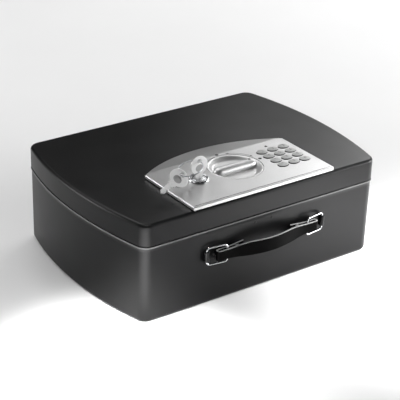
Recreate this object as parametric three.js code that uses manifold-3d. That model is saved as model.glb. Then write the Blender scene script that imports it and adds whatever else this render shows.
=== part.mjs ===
// Steel cash box with a keypad, a turning latch knob, an override key lock and a carrying handle.
// Millimetres, +Z up, front towards -Y. The origin is on the floor under the middle of the case.
import * as THREE from 'three';
import { mergeVertices } from 'three/addons/utils/BufferGeometryUtils.js';
import Module from 'manifold-3d';

const wasm = await Module();
wasm.setup();

// Case: straight front and back, sides bowed outwards, rounded upright corners.
const CASE_WIDTH = 288.4;
const CASE_DEPTH = 224;
const SIDE_BOW = 15.9;
const CORNER_RADIUS = 12;
const FRONT = -CASE_DEPTH / 2;
const REAR = CASE_DEPTH / 2;
const BASE_WALL = 1.6;
const BASE_EDGE_RADIUS = 4;
const RIM_Z = 84;
const LIP_BOTTOM = 74;
const LIP_TOP = 88.2;
const LIP_INSET = 3;
const LID_BOTTOM = 84.8;
const LID_TOP = 108;
const LID_PROUD = 0.7;
const LID_WALL = 1.5;
const LID_UNDERSIDE = LID_TOP - BASE_WALL;
const LID_EDGE_RADIUS = 3.5;
const GAP = 0.3;

// Control panel on the lid.
const PANEL_HALF_WIDTH = 88;
const PANEL_SIDE_END = -26;
const PANEL_REAR = 2.8;
const PANEL_TOP = LID_TOP + 4.4;
const PANEL_BOTTOM = LID_TOP + GAP;
const CREASE_Y = -23;
const CREASE_DROP = 2.4;
const PLATE_INSET = 3;
const PLATE_THICKNESS = 1;
const PLATE_REAR = CREASE_Y - 0.6;
const PANEL_EDGE = 0.9;

// Latch knob, its scroll cam and the bolt.
const KNOB_X = 1.5;
const KNOB_Y = -57;
const KNOB_RADIUS = 29.5;
const KNOB_FLANGE_RADIUS = 31.2;
const KNOB_FLOOR = LID_TOP + 0.4;
const KNOB_BOTTOM = 106.2;
const BAR_TOP = LID_TOP + 7.9;
const BAR_HALF_LENGTH = 26;
const BAR_HALF_WIDTH = 6.5;
const BAR_CROWN_RADIUS = 7.2;
const HUB_RADIUS = 9;
const CAM_TOP = 101.3;
const CAM_BOTTOM = 97;
const CAM_RADIUS = 21;
const SCROLL_START = 8;
const BOLT_STROKE = 9;
const PIN_RADIUS = 2;
const PIN_PLAY = 0.35;
const NOTCH = { left: -20, right: -9.5, front: -44.5, rear: -37.5 };
const BOLT_TOP = 96.5;
const BOLT_BOTTOM = 93.5;
const BOLT_TIP_Y = -101;
const BOLT_TAIL_Y = -42;
const BOLT_HALF_WIDTH = 8;

// Solenoid beside the cam. Its plunger blocks the cam's notch.
const SOLENOID = { left: -50, right: -28, front: -48, rear: -34, top: 104 };
const PLUNGER = { left: -42, right: -15.6, y: -41, z: 99.2, radius: 2.9, play: 0.4 };

// Override lock and its keys.
const LOCK_X = -47.8;
const LOCK_Y = -62.3;
const LOCK_FACE = PANEL_TOP + 1.2;
const BARREL_RADIUS = 9.4;
const PLUG_RADIUS = 6.5;
const PLUG_BOTTOM = 93.5;
const KEYWAY = { halfWidth: 4, halfDepth: 1.4, bottom: 98.5 };
const NUT = { radius: 13.4, bottom: 101.5 };
const OVERRIDE_CAM = { hubRadius: 6, reach: 13, tipRadius: 3.5, thickness: 2 };
const KEY_THICKNESS = 2;
const KEY_EDGE = 0.3;
const KEY_BOW_RADIUS = 10;
const KEY_HOLE_RADIUS = 2.8;
const KEY_HOLE_OFFSET = 4.6;
const KEY_SHOULDER = 4.2;
const KEY_SHOULDER_LENGTH = 3;
const KEY_BLADE = 3.1;
const KEY_TIP = 2.5;
const KEY_CUTS = [1, 2.1, 0.9, 1.7];
const KEY_REACH = 27;
const KEY_BOW_CENTRE = new THREE.Vector3(LOCK_X, LOCK_Y, LID_TOP + 19.8);
const SPARE_BOW_CENTRE = new THREE.Vector3(-76.2, -68.3, LID_TOP + 15.3);
const SPARE_TIP = new THREE.Vector3(-101, -74.6, LID_TOP + 7.8);
const SPARE_FACING = new THREE.Vector3(-0.527, -0.725, 0.445);
const RING_WIRE = 0.7;

// Keypad.
const BUTTON_X = [46.5, 60.8, 75.1];
const BUTTON_Y = [-43.8, -55.8, -67.8, -79.8];
const BUTTON_HALF_WIDTH = 6.2;
const BUTTON_HALF_DEPTH = 4.7;
const BUTTON_TOP = PANEL_TOP + 1.6;
const BUTTON_EDGE = 1.1;
const BUTTON_PLAY = 0.35;
const BUTTON_FLANGE = { halfWidth: 6.8, halfDepth: 5.5, bottom: PANEL_TOP - 2.8, top: PANEL_TOP - 1.6 };
const BUTTON_STEM = { halfWidth: 4, halfDepth: 2.5, bottom: PANEL_TOP - 4.2 };
const LED_RADIUS = 1.5;
const LED_X = 59.3;
const LED_Y = -33.9;
const BOARD = { left: 39.3, right: 82.7, front: -88.5, rear: -28.5, bottom: 105.3, top: 106.9, play: 0.8 };

// Inner cover of the lid, with the lock works and the batteries above it.
const COVER = { left: -84, right: 84, front: -103.5, rear: 38, bottom: 88.3, floor: 89.8, wall: 1.8 };
const COVER_SCREWS = [[-78, -96], [78, -96], [-78, 31], [78, 31]];
const COVER_BOSS_RADIUS = 4.8;
const SCREW = { shank: 1.5, way: 1.8, head: 3.2, headHeight: 1.5, tip: 99.2 };
const BATTERY = { radius: 7.2, length: 50.5, front: -21, pitch: 15, z: 97.4, nubRadius: 2.7, nubLength: 1 };
const BAY = { half: 31, front: -23, rear: 31, wall: 1.6, top: 101 };
const RAIL = { inner: 31.8, outer: 35.4, bottom: 85 };
const DOOR_WAY = { half: 33.2, bottom: 86.1 };
const DOOR = { half: 32.9, bottom: 86.4, top: 88 };
const DOOR_PULL = { half: 12, bottom: 85.4, front: BAY.rear - 4, rear: BAY.rear - 1.5 };
const BOLT_BED = { half: 10.4, rear: -79 };
const BOLT_REST = { half: 9, front: -52, rear: -44 };

// Carrying handle on the front wall.
const LOOP_X = 73.3;
const LOOP_STANDOFF = 3.3;
const LOOP_REACH = 22.6;
const LOOP_ANGLE = THREE.MathUtils.degToRad(9);
const LOOP_HALF_HEIGHT = 9.4;
const LOOP_BEND = 3.2;
const WIRE_RADIUS = 1;
const HANDLE_Z = 56;
const BRACKET = { inner: 55.5, halfHeight: 5.5, thickness: 1.2, curlRadius: 2.6 };
const HANDLE_RIVET_X = 62;
const HANDLE_RIVET_HOLE = 1.9;
const GRIP_MIDDLE_Z = HANDLE_Z - 0.25;
const GRIP_HALF_HEIGHT = 7.85;
const GRIP_BOTTOM = GRIP_MIDDLE_Z - GRIP_HALF_HEIGHT;
const GRIP_TOP = GRIP_MIDDLE_Z + GRIP_HALF_HEIGHT;
const GRIP_TAPER = { drop: 2.3, start: 24, end: 52 };
const GRIP_STANDOFF = 9.8;
const GRIP_ARCH = 6.4;
const GRIP_ARCH_HALF = 50;
const GRIP_THICKNESS = 2;
const GRIP_TIP = 64;
const GRIP_STEP = 5;
const FOLD_END = 30;
const FOLD_STANDOFF = 3.4;
const FOLD_THICKNESS = 1.8;
const FOLD_WEB = 6;
const EYE_START = FOLD_END + 10.5;

// Hinges on the rear wall.
const HINGE_X = 85;
const HINGE_Y = REAR + LID_PROUD + 3.7;
const HINGE_Z = 84.6;
const KNUCKLE_RADIUS = 3.2;
const HINGE_LENGTH = 48;
const HINGE_BORE = 1.7;
const HINGE_PIN = { radius: 1.4, overhang: 0.8 };
const LEAF_THICKNESS = 1.3;
const LEAF_BOTTOM = 64;
const LEAF_TOP = 103;
const KNUCKLE_SIDE_GAP = 0.4;

// Strike plate on the front wall.
const STRIKE = { x: -1.5, halfWidth: 18, thickness: 1.8, bottom: 66, top: 99.5 };
const STRIKE_BACK = FRONT + LIP_INSET + GAP + STRIKE.thickness;
const STRIKE_RIVET = { spacing: 10.5, z: 75.8, hole: 1.7, shank: 1.4 };
const STRIKE_WINDOW = { half: 10, play: 0.9 };

const black = { color: 0x17181a, roughness: 0.45, metalness: 0.3 };
const silver = { color: 0xb4b6b8, roughness: 0.45, metalness: 0.6 };
const steel = { color: 0x8d9094, roughness: 0.4, metalness: 0.9 };
const chrome = { color: 0xd8dadc, roughness: 0.12, metalness: 1 };
const brass = { color: 0xb99a5a, roughness: 0.35, metalness: 0.9 };
const rubber = { color: 0x8f9296, roughness: 0.75, metalness: 0 };
const darkPlastic = { color: 0x202225, roughness: 0.6, metalness: 0 };
const boardGreen = { color: 0x1f5a35, roughness: 0.5, metalness: 0.1 };
const batterySleeve = { color: 0x2a3d55, roughness: 0.4, metalness: 0.2 };
const copper = { color: 0xa8602e, roughness: 0.4, metalness: 0.8 };
const felt = { color: 0x101112, roughness: 0.95, metalness: 0 };
const redLens = { color: 0x9c2020, roughness: 0.2, metalness: 0 };

// ---------------------------------------------------------------- solids and cuts

function toSolid(geometry) {
  const bare = geometry.clone();
  bare.deleteAttribute('normal');
  bare.deleteAttribute('uv');
  const merged = mergeVertices(bare, 1e-4);
  const corners = [];
  for (let i = 0; i < merged.index.count; i += 3) {
    const [a, b, c] = [0, 1, 2].map((k) => merged.index.getX(i + k));
    if (a !== b && b !== c && c !== a) corners.push(a, b, c);
  }
  const mesh = new wasm.Mesh({
    numProp: 3,
    vertProperties: Float32Array.from(merged.attributes.position.array),
    triVerts: Uint32Array.from(corners),
  });
  return new wasm.Manifold(mesh);
}

function toGeometry(solid) {
  const mesh = solid.getMesh();
  const geometry = new THREE.BufferGeometry();
  geometry.setAttribute('position', new THREE.BufferAttribute(mesh.vertProperties, 3));
  geometry.setIndex(new THREE.BufferAttribute(mesh.triVerts, 1));
  geometry.computeVertexNormals();
  return geometry;
}

function join(...solids) {
  return solids.reduce((whole, solid) => whole.add(solid));
}

function cut(solid, ...tools) {
  return tools.reduce((rest, tool) => rest.subtract(tool), solid);
}

function box(x0, x1, y0, y1, z0, z1) {
  const geometry = new THREE.BoxGeometry(x1 - x0, y1 - y0, z1 - z0);
  geometry.translate((x0 + x1) / 2, (y0 + y1) / 2, (z0 + z1) / 2);
  return toSolid(geometry);
}

// An upright round bar.
function post(x, y, radius, z0, z1, sides = 28) {
  const geometry = new THREE.CylinderGeometry(radius, radius, z1 - z0, sides);
  geometry.rotateX(Math.PI / 2);
  geometry.translate(x, y, (z0 + z1) / 2);
  return toSolid(geometry);
}

// A round bar along X.
function barAlongX(y, z, radius, x0, x1, sides = 24) {
  const geometry = new THREE.CylinderGeometry(radius, radius, x1 - x0, sides);
  geometry.rotateZ(Math.PI / 2);
  geometry.translate((x0 + x1) / 2, y, z);
  return toSolid(geometry);
}

// A round bar along Y.
function barAlongY(x, z, radius, y0, y1, sides = 24) {
  const geometry = new THREE.CylinderGeometry(radius, radius, y1 - y0, sides);
  geometry.translate(x, (y0 + y1) / 2, z);
  return toSolid(geometry);
}

// An outline in plan, raised from z0 to z1, with an optional rounded edge at both ends.
function prism(shape, z0, z1, edge = 0, curveSegments = 5, edgeSegments = 3) {
  const geometry = new THREE.ExtrudeGeometry(shape, {
    depth: z1 - z0 - 2 * edge,
    curveSegments,
    bevelEnabled: edge > 0,
    bevelThickness: edge,
    bevelSize: edge,
    bevelOffset: -edge,
    bevelSegments: edgeSegments,
  });
  geometry.translate(0, 0, z0 + edge);
  return toSolid(geometry);
}

// A solid of revolution about an upright axis; the profile holds [radius, z] pairs.
function turned(profile, x, y, sides = 40) {
  const points = profile.map(([radius, z]) => new THREE.Vector2(radius, z));
  const geometry = new THREE.LatheGeometry(points, sides);
  geometry.rotateX(Math.PI / 2);
  geometry.translate(x, y, 0);
  return toSolid(geometry);
}

// A round wire along a path.
function wire(path, radius, steps) {
  const section = new THREE.Shape();
  section.absarc(0, 0, radius, 0, 2 * Math.PI);
  const geometry = new THREE.ExtrudeGeometry(section, {
    extrudePath: path,
    steps,
    curveSegments: 4,
  });
  return toSolid(geometry);
}

// A slab wider and deeper than the case, for trimming it level.
function slab(z0, z1) {
  return box(-CASE_WIDTH, CASE_WIDTH, -CASE_DEPTH, CASE_DEPTH, z0, z1);
}

function mirrorX(solid) {
  return solid.mirror([1, 0, 0]);
}

// ---------------------------------------------------------------- outlines

// Plan of the case, grown outwards by the given distance.
function caseOutline(grow) {
  const half = CASE_DEPTH / 2;
  const sideRadius = (half * half + SIDE_BOW * SIDE_BOW) / (2 * SIDE_BOW);
  const sideCentre = CASE_WIDTH / 2 + SIDE_BOW - sideRadius;
  const cornerY = half - CORNER_RADIUS;
  const reach = Math.sqrt((sideRadius - CORNER_RADIUS) ** 2 - cornerY ** 2);
  const cornerX = sideCentre + reach;
  const turn = Math.atan2(cornerY, reach);
  const corner = CORNER_RADIUS + grow;
  const shape = new THREE.Shape();
  shape.moveTo(-cornerX, -half - grow);
  shape.lineTo(cornerX, -half - grow);
  shape.absarc(cornerX, -cornerY, corner, -Math.PI / 2, -turn);
  shape.absarc(sideCentre, 0, sideRadius + grow, -turn, turn);
  shape.absarc(cornerX, cornerY, corner, turn, Math.PI / 2);
  shape.absarc(-cornerX, cornerY, corner, Math.PI / 2, Math.PI - turn);
  shape.absarc(-sideCentre, 0, sideRadius + grow, Math.PI - turn, Math.PI + turn);
  shape.absarc(-cornerX, -cornerY, corner, Math.PI + turn, 1.5 * Math.PI);
  return shape;
}

// Plan of the panel: square front corners, straight sides and one arc at the rear.
function panelOutline() {
  const rise = PANEL_REAR - PANEL_SIDE_END;
  const radius = (PANEL_HALF_WIDTH ** 2 + rise ** 2) / (2 * rise);
  const sweep = Math.asin(PANEL_HALF_WIDTH / radius);
  const shape = new THREE.Shape();
  shape.moveTo(-PANEL_HALF_WIDTH, FRONT);
  shape.lineTo(PANEL_HALF_WIDTH, FRONT);
  shape.lineTo(PANEL_HALF_WIDTH, PANEL_SIDE_END);
  shape.absarc(0, PANEL_REAR - radius, radius, Math.PI / 2 - sweep, Math.PI / 2 + sweep);
  return shape;
}

function oval(x, y, halfWidth, halfDepth) {
  const shape = new THREE.Shape();
  shape.absellipse(x, y, halfWidth, halfDepth, 0, 2 * Math.PI);
  return shape;
}

// A straight bar along X with round ends.
function stadium(x, y, halfLength, halfWidth) {
  const reach = halfLength - halfWidth;
  const shape = new THREE.Shape();
  shape.absarc(x + reach, y, halfWidth, -Math.PI / 2, Math.PI / 2);
  shape.absarc(x - reach, y, halfWidth, Math.PI / 2, 1.5 * Math.PI);
  return shape;
}

// ---------------------------------------------------------------- base

function baseShell() {
  const outside = cut(
    prism(caseOutline(0), 0, RIM_Z + 20, BASE_EDGE_RADIUS),
    slab(RIM_Z, RIM_Z + 30),
  );
  const lip = prism(caseOutline(-BASE_WALL), LIP_BOTTOM - 4, LIP_TOP);
  const room = cut(
    prism(caseOutline(-BASE_WALL), BASE_WALL, LIP_TOP, BASE_EDGE_RADIUS - BASE_WALL),
    slab(LIP_BOTTOM, LIP_TOP + 10),
  );
  const mouth = prism(caseOutline(-LIP_INSET), LIP_BOTTOM - 2, LIP_TOP + 2);
  const handleHoles = [-HANDLE_RIVET_X, HANDLE_RIVET_X].map(
    (x) => barAlongY(x, HANDLE_Z, HANDLE_RIVET_HOLE, FRONT - 2, FRONT + 3, 16),
  );
  return cut(join(outside, lip), room, mouth, ...strikeHoles(), ...handleHoles);
}

function floorMat() {
  return prism(caseOutline(-BASE_EDGE_RADIUS - 1), BASE_WALL + GAP, BASE_WALL + GAP + 2);
}

function strikeRivetX() {
  return [STRIKE.x - STRIKE_RIVET.spacing, STRIKE.x + STRIKE_RIVET.spacing];
}

function strikeHoles() {
  return strikeRivetX().map(
    (x) => barAlongY(x, STRIKE_RIVET.z, STRIKE_RIVET.hole, FRONT - 2, STRIKE_BACK + 1, 16),
  );
}

// Upright plate behind the front lip, with a window above the rim that takes the bolt.
function strikePlate() {
  const plate = box(
    STRIKE.x - STRIKE.halfWidth, STRIKE.x + STRIKE.halfWidth,
    STRIKE_BACK - STRIKE.thickness, STRIKE_BACK,
    STRIKE.bottom, STRIKE.top,
  );
  const window = box(
    KNOB_X - STRIKE_WINDOW.half, KNOB_X + STRIKE_WINDOW.half,
    STRIKE_BACK - 3, STRIKE_BACK + 1,
    BOLT_BOTTOM - STRIKE_WINDOW.play, BOLT_TOP + STRIKE_WINDOW.play,
  );
  return cut(plate, window, ...strikeHoles());
}

// A rivet through the front wall, with a head outside and a head behind the given inner face.
function rivet(x, z, shank, outerHead, innerHeadRadius, innerFace) {
  const innerHeadY = innerFace + GAP;
  const innerHeadThickness = 1.2;
  return join(
    barAlongY(x, z, shank, FRONT - outerHead.proud + 0.1, innerHeadY + 0.5, 12),
    barAlongY(x, z, outerHead.radius, FRONT - outerHead.proud, FRONT - outerHead.clear, 12),
    barAlongY(x, z, innerHeadRadius, innerHeadY, innerHeadY + innerHeadThickness, 12),
  );
}

function strikeRivet(x) {
  const outerHead = { radius: STRIKE_RIVET.shank, proud: 0.3, clear: 0.1 };
  return rivet(x, STRIKE_RIVET.z, STRIKE_RIVET.shank, outerHead, 2.8, STRIKE_BACK);
}

function handleRivet(side) {
  const outerHead = { radius: 3, proud: 2.4, clear: 1.8 };
  return rivet(side * HANDLE_RIVET_X, HANDLE_Z, 1.5, outerHead, 3, FRONT + BASE_WALL);
}

// ---------------------------------------------------------------- hinges

function knuckle(x0, x1) {
  return cut(
    barAlongX(HINGE_Y, HINGE_Z, KNUCKLE_RADIUS, x0, x1, 16),
    barAlongX(HINGE_Y, HINGE_Z, HINGE_BORE, x0 - 1, x1 + 1, 12),
  );
}

function hingeBore(x) {
  return barAlongX(HINGE_Y, HINGE_Z, HINGE_BORE, x - HINGE_LENGTH, x + HINGE_LENGTH, 12);
}

function hingeBaseLeaf(x) {
  const third = HINGE_LENGTH / 3;
  const y0 = REAR + GAP;
  const y1 = y0 + LEAF_THICKNESS;
  const ends = [-1, 1].map((side) => {
    const inner = side * (third / 2 + KNUCKLE_SIDE_GAP);
    const outer = side * HINGE_LENGTH / 2;
    const [x0, x1] = [x + Math.min(inner, outer), x + Math.max(inner, outer)];
    const tab = box(x0, x1, y0, HINGE_Y - 2, HINGE_Z - 6, HINGE_Z - 1);
    return join(knuckle(x0, x1), tab);
  });
  const plate = box(x - HINGE_LENGTH / 2, x + HINGE_LENGTH / 2, y0, y1, LEAF_BOTTOM, HINGE_Z - 4);
  return cut(join(plate, ...ends), hingeBore(x));
}

function hingeLidLeaf(x) {
  const third = HINGE_LENGTH / 3;
  const y0 = REAR + LID_PROUD + GAP;
  const y1 = y0 + LEAF_THICKNESS;
  const plate = box(x - HINGE_LENGTH / 2, x + HINGE_LENGTH / 2, y0, y1, HINGE_Z + 4, LEAF_TOP);
  const tab = box(x - third / 2, x + third / 2, y0, y1, HINGE_Z, HINGE_Z + 6);
  return cut(join(plate, tab, knuckle(x - third / 2, x + third / 2)), hingeBore(x));
}

function hingePin(x) {
  const half = HINGE_LENGTH / 2 + HINGE_PIN.overhang;
  return barAlongX(HINGE_Y, HINGE_Z, HINGE_PIN.radius, x - half, x + half, 16);
}

// ---------------------------------------------------------------- handle

// Distance of the grip's outer face from the front wall.
function gripStandoff(x) {
  const arch = Math.abs(x) < GRIP_ARCH_HALF ? (1 + Math.cos(Math.PI * x / GRIP_ARCH_HALF)) / 2 : 0;
  return GRIP_STANDOFF + GRIP_ARCH * arch;
}

// Half the height of the grip: full in the middle, less towards the ends.
function gripHalfHeight(x) {
  const end = THREE.MathUtils.smoothstep(Math.abs(x), GRIP_TAPER.start, GRIP_TAPER.end);
  return GRIP_HALF_HEIGHT - GRIP_TAPER.drop * end;
}

// The grip's outline seen from the front, as a block deeper than the handle.
function gripElevation() {
  const reach = GRIP_TIP + 1;
  const shape = new THREE.Shape();
  shape.moveTo(-reach, -gripHalfHeight(reach));
  for (let x = -GRIP_TAPER.end; x <= GRIP_TAPER.end; x += 4) shape.lineTo(x, -gripHalfHeight(x));
  shape.lineTo(reach, -gripHalfHeight(reach));
  shape.lineTo(reach, gripHalfHeight(reach));
  for (let x = GRIP_TAPER.end; x >= -GRIP_TAPER.end; x -= 4) shape.lineTo(x, gripHalfHeight(x));
  shape.lineTo(-reach, gripHalfHeight(reach));
  const depth = GRIP_STANDOFF + GRIP_ARCH + 1;
  const geometry = new THREE.ExtrudeGeometry(shape, { depth, bevelEnabled: false });
  geometry.rotateX(Math.PI / 2);
  geometry.translate(0, FRONT, GRIP_MIDDLE_Z);
  return toSolid(geometry);
}

// A strap bowed away from the wall, folded back at both ends into flat eyes for the wire loops.
function handleGrip() {
  const geometry = new THREE.ExtrudeGeometry(gripPlan(), {
    depth: GRIP_TOP - GRIP_BOTTOM,
    curveSegments: 8,
    bevelEnabled: false,
  });
  geometry.translate(0, 0, GRIP_BOTTOM);
  const strap = cut(toSolid(geometry), gripEye(1), gripEye(-1));
  return strap.mirror([0, 1, 0]).translate([0, FRONT, 0]).intersect(gripElevation());
}

// The grip seen from above, measured outwards from the front wall.
function gripPlan() {
  const fold = (GRIP_STANDOFF - FOLD_STANDOFF) / 2;
  const foldX = GRIP_TIP - fold;
  const foldMiddle = FOLD_STANDOFF + fold;
  const inside = (x) => gripStandoff(x) - GRIP_THICKNESS;
  const backFace = FOLD_STANDOFF + FOLD_THICKNESS;
  const webEnd = FOLD_END + FOLD_WEB;
  const shape = new THREE.Shape();
  shape.moveTo(-foldX, FOLD_STANDOFF);
  shape.lineTo(-FOLD_END, FOLD_STANDOFF);
  shape.lineTo(-FOLD_END, backFace);
  shape.lineTo(-webEnd, backFace);
  shape.lineTo(-webEnd, inside(webEnd));
  for (let x = -FOLD_END; x <= FOLD_END; x += GRIP_STEP) shape.lineTo(x, inside(x));
  shape.lineTo(webEnd, inside(webEnd));
  shape.lineTo(webEnd, backFace);
  shape.lineTo(FOLD_END, backFace);
  shape.lineTo(FOLD_END, FOLD_STANDOFF);
  shape.lineTo(foldX, FOLD_STANDOFF);
  shape.absarc(foldX, foldMiddle, fold, -Math.PI / 2, Math.PI / 2);
  for (let x = GRIP_ARCH_HALF; x >= -GRIP_ARCH_HALF; x -= GRIP_STEP) shape.lineTo(x, gripStandoff(x));
  shape.absarc(-foldX, foldMiddle, fold, Math.PI / 2, 1.5 * Math.PI);
  return shape;
}

// The slot between the two layers, where the inner leg of a loop slides as the handle moves out.
function gripEye(side) {
  const back = FOLD_STANDOFF + FOLD_THICKNESS;
  const front = GRIP_STANDOFF - GRIP_THICKNESS + 0.6;
  const radius = (front - back) / 2;
  const inner = side * (EYE_START + radius);
  const outer = side * (GRIP_TIP - FOLD_THICKNESS - radius);
  const middle = back + radius;
  return join(
    box(Math.min(inner, outer), Math.max(inner, outer), back, front, GRIP_BOTTOM - 1, GRIP_TOP + 1),
    post(inner, middle, radius, GRIP_BOTTOM - 1, GRIP_TOP + 1, 12),
    post(outer, middle, radius, GRIP_BOTTOM - 1, GRIP_TOP + 1, 12),
  );
}

// Half of a rounded rectangle of wire, drawn from the middle of one rail to the middle of the other.
function loopHalf(legX, middleX) {
  const bend = LOOP_BEND * Math.sign(legX - middleX);
  const top = LOOP_HALF_HEIGHT;
  const point = (x, z) => new THREE.Vector3(x, 0, z);
  const path = new THREE.CurvePath();
  path.add(new THREE.LineCurve3(point(middleX, top), point(legX - bend, top)));
  path.add(new THREE.QuadraticBezierCurve3(
    point(legX - bend, top), point(legX, top), point(legX, top - LOOP_BEND),
  ));
  path.add(new THREE.LineCurve3(point(legX, top - LOOP_BEND), point(legX, LOOP_BEND - top)));
  path.add(new THREE.QuadraticBezierCurve3(
    point(legX, LOOP_BEND - top), point(legX, -top), point(legX - bend, -top),
  ));
  path.add(new THREE.LineCurve3(point(legX - bend, -top), point(middleX, -top)));
  return wire(path, WIRE_RADIUS, 18);
}

// A closed wire loop whose outer leg turns in its bracket. Built for the right side.
function handleLoop() {
  const middle = -LOOP_REACH / 2;
  const flat = join(loopHalf(0, middle - 0.4), loopHalf(-LOOP_REACH, middle + 0.4));
  const turn = THREE.MathUtils.radToDeg(LOOP_ANGLE);
  return flat.rotate([0, 0, turn]).translate([LOOP_X, FRONT - LOOP_STANDOFF, HANDLE_Z]);
}

// A riveted plate whose end is curled round the outer leg of the loop. Built for the right side.
function handleBracket() {
  const legY = FRONT - LOOP_STANDOFF;
  const back = FRONT - GAP;
  const bottom = HANDLE_Z - BRACKET.halfHeight;
  const top = HANDLE_Z + BRACKET.halfHeight;
  const plate = box(BRACKET.inner, LOOP_X, back - BRACKET.thickness, back, bottom, top);
  const curl = post(LOOP_X, legY, BRACKET.curlRadius, bottom, top, 20);
  const bore = post(LOOP_X, legY, WIRE_RADIUS + 0.4, bottom - 1, top + 1, 16);
  const rivetHole = barAlongY(HANDLE_RIVET_X, HANDLE_Z, HANDLE_RIVET_HOLE, FRONT - 3, FRONT + 1, 16);
  return cut(join(plate, curl), bore, rivetHole);
}

// ---------------------------------------------------------------- lid

function lidShell() {
  const outside = prism(caseOutline(LID_PROUD), LID_BOTTOM - 20, LID_TOP, LID_EDGE_RADIUS);
  const inside = prism(caseOutline(LID_PROUD - LID_WALL), LID_BOTTOM - 20, LID_UNDERSIDE, 2);
  const below = slab(LID_BOTTOM - 30, LID_BOTTOM);
  const knobOpening = post(KNOB_X, KNOB_Y, KNOB_FLANGE_RADIUS + 0.8, LID_UNDERSIDE - 2, LID_TOP + 2, 40);
  const lockOpening = post(LOCK_X, LOCK_Y, BARREL_RADIUS + 0.5, LID_UNDERSIDE - 2, LID_TOP + 2);
  const boardOpening = box(
    BOARD.left - BOARD.play, BOARD.right + BOARD.play,
    BOARD.front - BOARD.play, BOARD.rear + BOARD.play,
    LID_UNDERSIDE - 2, LID_TOP + 2,
  );
  return cut(outside, inside, below, knobOpening, lockOpening, boardOpening);
}

// Raised housing of the panel. Behind the crease its top falls away to the rear.
function panelBezel() {
  const body = prism(panelOutline(), PANEL_BOTTOM, PANEL_TOP, PANEL_EDGE, 12, 2);
  const fall = Math.atan2(CREASE_DROP, PANEL_REAR - CREASE_Y);
  const [width, depth, height] = [3 * PANEL_HALF_WIDTH, 40, 10];
  const wedge = new THREE.BoxGeometry(width, depth, height);
  wedge.translate(0, depth / 2, height / 2);
  wedge.rotateX(-fall);
  wedge.translate(0, CREASE_Y, PANEL_TOP);
  const pocket = box(
    -PANEL_HALF_WIDTH + PLATE_INSET, PANEL_HALF_WIDTH - PLATE_INSET,
    FRONT + PLATE_INSET, PLATE_REAR,
    PANEL_TOP - PLATE_THICKNESS - GAP, PANEL_TOP + 5,
  );
  const knobOpening = post(KNOB_X, KNOB_Y, KNOB_RADIUS + 0.4, LID_TOP, PANEL_TOP + 2, 48);
  const lockOpening = post(LOCK_X, LOCK_Y, BARREL_RADIUS + 0.4, LID_TOP, PANEL_TOP + 2);
  const keypad = box(BOARD.left, BOARD.right, BOARD.front + 1, BOARD.rear, LID_TOP, PANEL_TOP + 2);
  return cut(body, toSolid(wedge), pocket, knobOpening, lockOpening, keypad);
}

// Thin plate let into the housing, with the holes for the controls.
function faceplate() {
  const inset = PLATE_INSET + GAP;
  const plate = box(
    -PANEL_HALF_WIDTH + inset, PANEL_HALF_WIDTH - inset,
    FRONT + inset, PLATE_REAR - GAP,
    PANEL_TOP - PLATE_THICKNESS, PANEL_TOP,
  );
  const buttons = buttonPlaces().map(([x, y]) => prism(
    oval(x, y, BUTTON_HALF_WIDTH + BUTTON_PLAY, BUTTON_HALF_DEPTH + BUTTON_PLAY),
    PANEL_TOP - 3, PANEL_TOP + 2, 0, 6,
  ));
  return cut(
    plate,
    post(KNOB_X, KNOB_Y, KNOB_RADIUS + 0.4, PANEL_TOP - 3, PANEL_TOP + 2, 48),
    post(LOCK_X, LOCK_Y, BARREL_RADIUS + 0.4, PANEL_TOP - 3, PANEL_TOP + 2),
    post(LED_X, LED_Y, 1.9, PANEL_TOP - 3, PANEL_TOP + 2, 16),
    ...buttons,
  );
}

function buttonPlaces() {
  return BUTTON_Y.flatMap((y) => BUTTON_X.map((x) => [x, y]));
}

// A domed oval cap with a flange that keeps it under the plate and a short stem over the board.
function keypadButton(x, y) {
  const cap = oval(x, y, BUTTON_HALF_WIDTH, BUTTON_HALF_DEPTH);
  const block = ({ halfWidth, halfDepth }, z0, z1) => box(
    x - halfWidth, x + halfWidth, y - halfDepth, y + halfDepth, z0, z1,
  );
  return join(
    prism(cap, PANEL_TOP - 3, BUTTON_TOP, BUTTON_EDGE, 6, 2),
    block(BUTTON_FLANGE, BUTTON_FLANGE.bottom, BUTTON_FLANGE.top),
    block(BUTTON_STEM, BUTTON_STEM.bottom, PANEL_TOP - 2),
  );
}

function keypadBoard() {
  return box(BOARD.left, BOARD.right, BOARD.front, BOARD.rear, BOARD.bottom, BOARD.top);
}

function statusLed() {
  const top = PANEL_TOP + 0.4;
  const profile = [
    [0, BOARD.top + GAP], [LED_RADIUS, BOARD.top + GAP],
    [LED_RADIUS, top - 0.6], [LED_RADIUS - 0.4, top - 0.1], [0, top],
  ];
  return turned(profile, LED_X, LED_Y, 16);
}

// ---------------------------------------------------------------- knob and bolt

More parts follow.
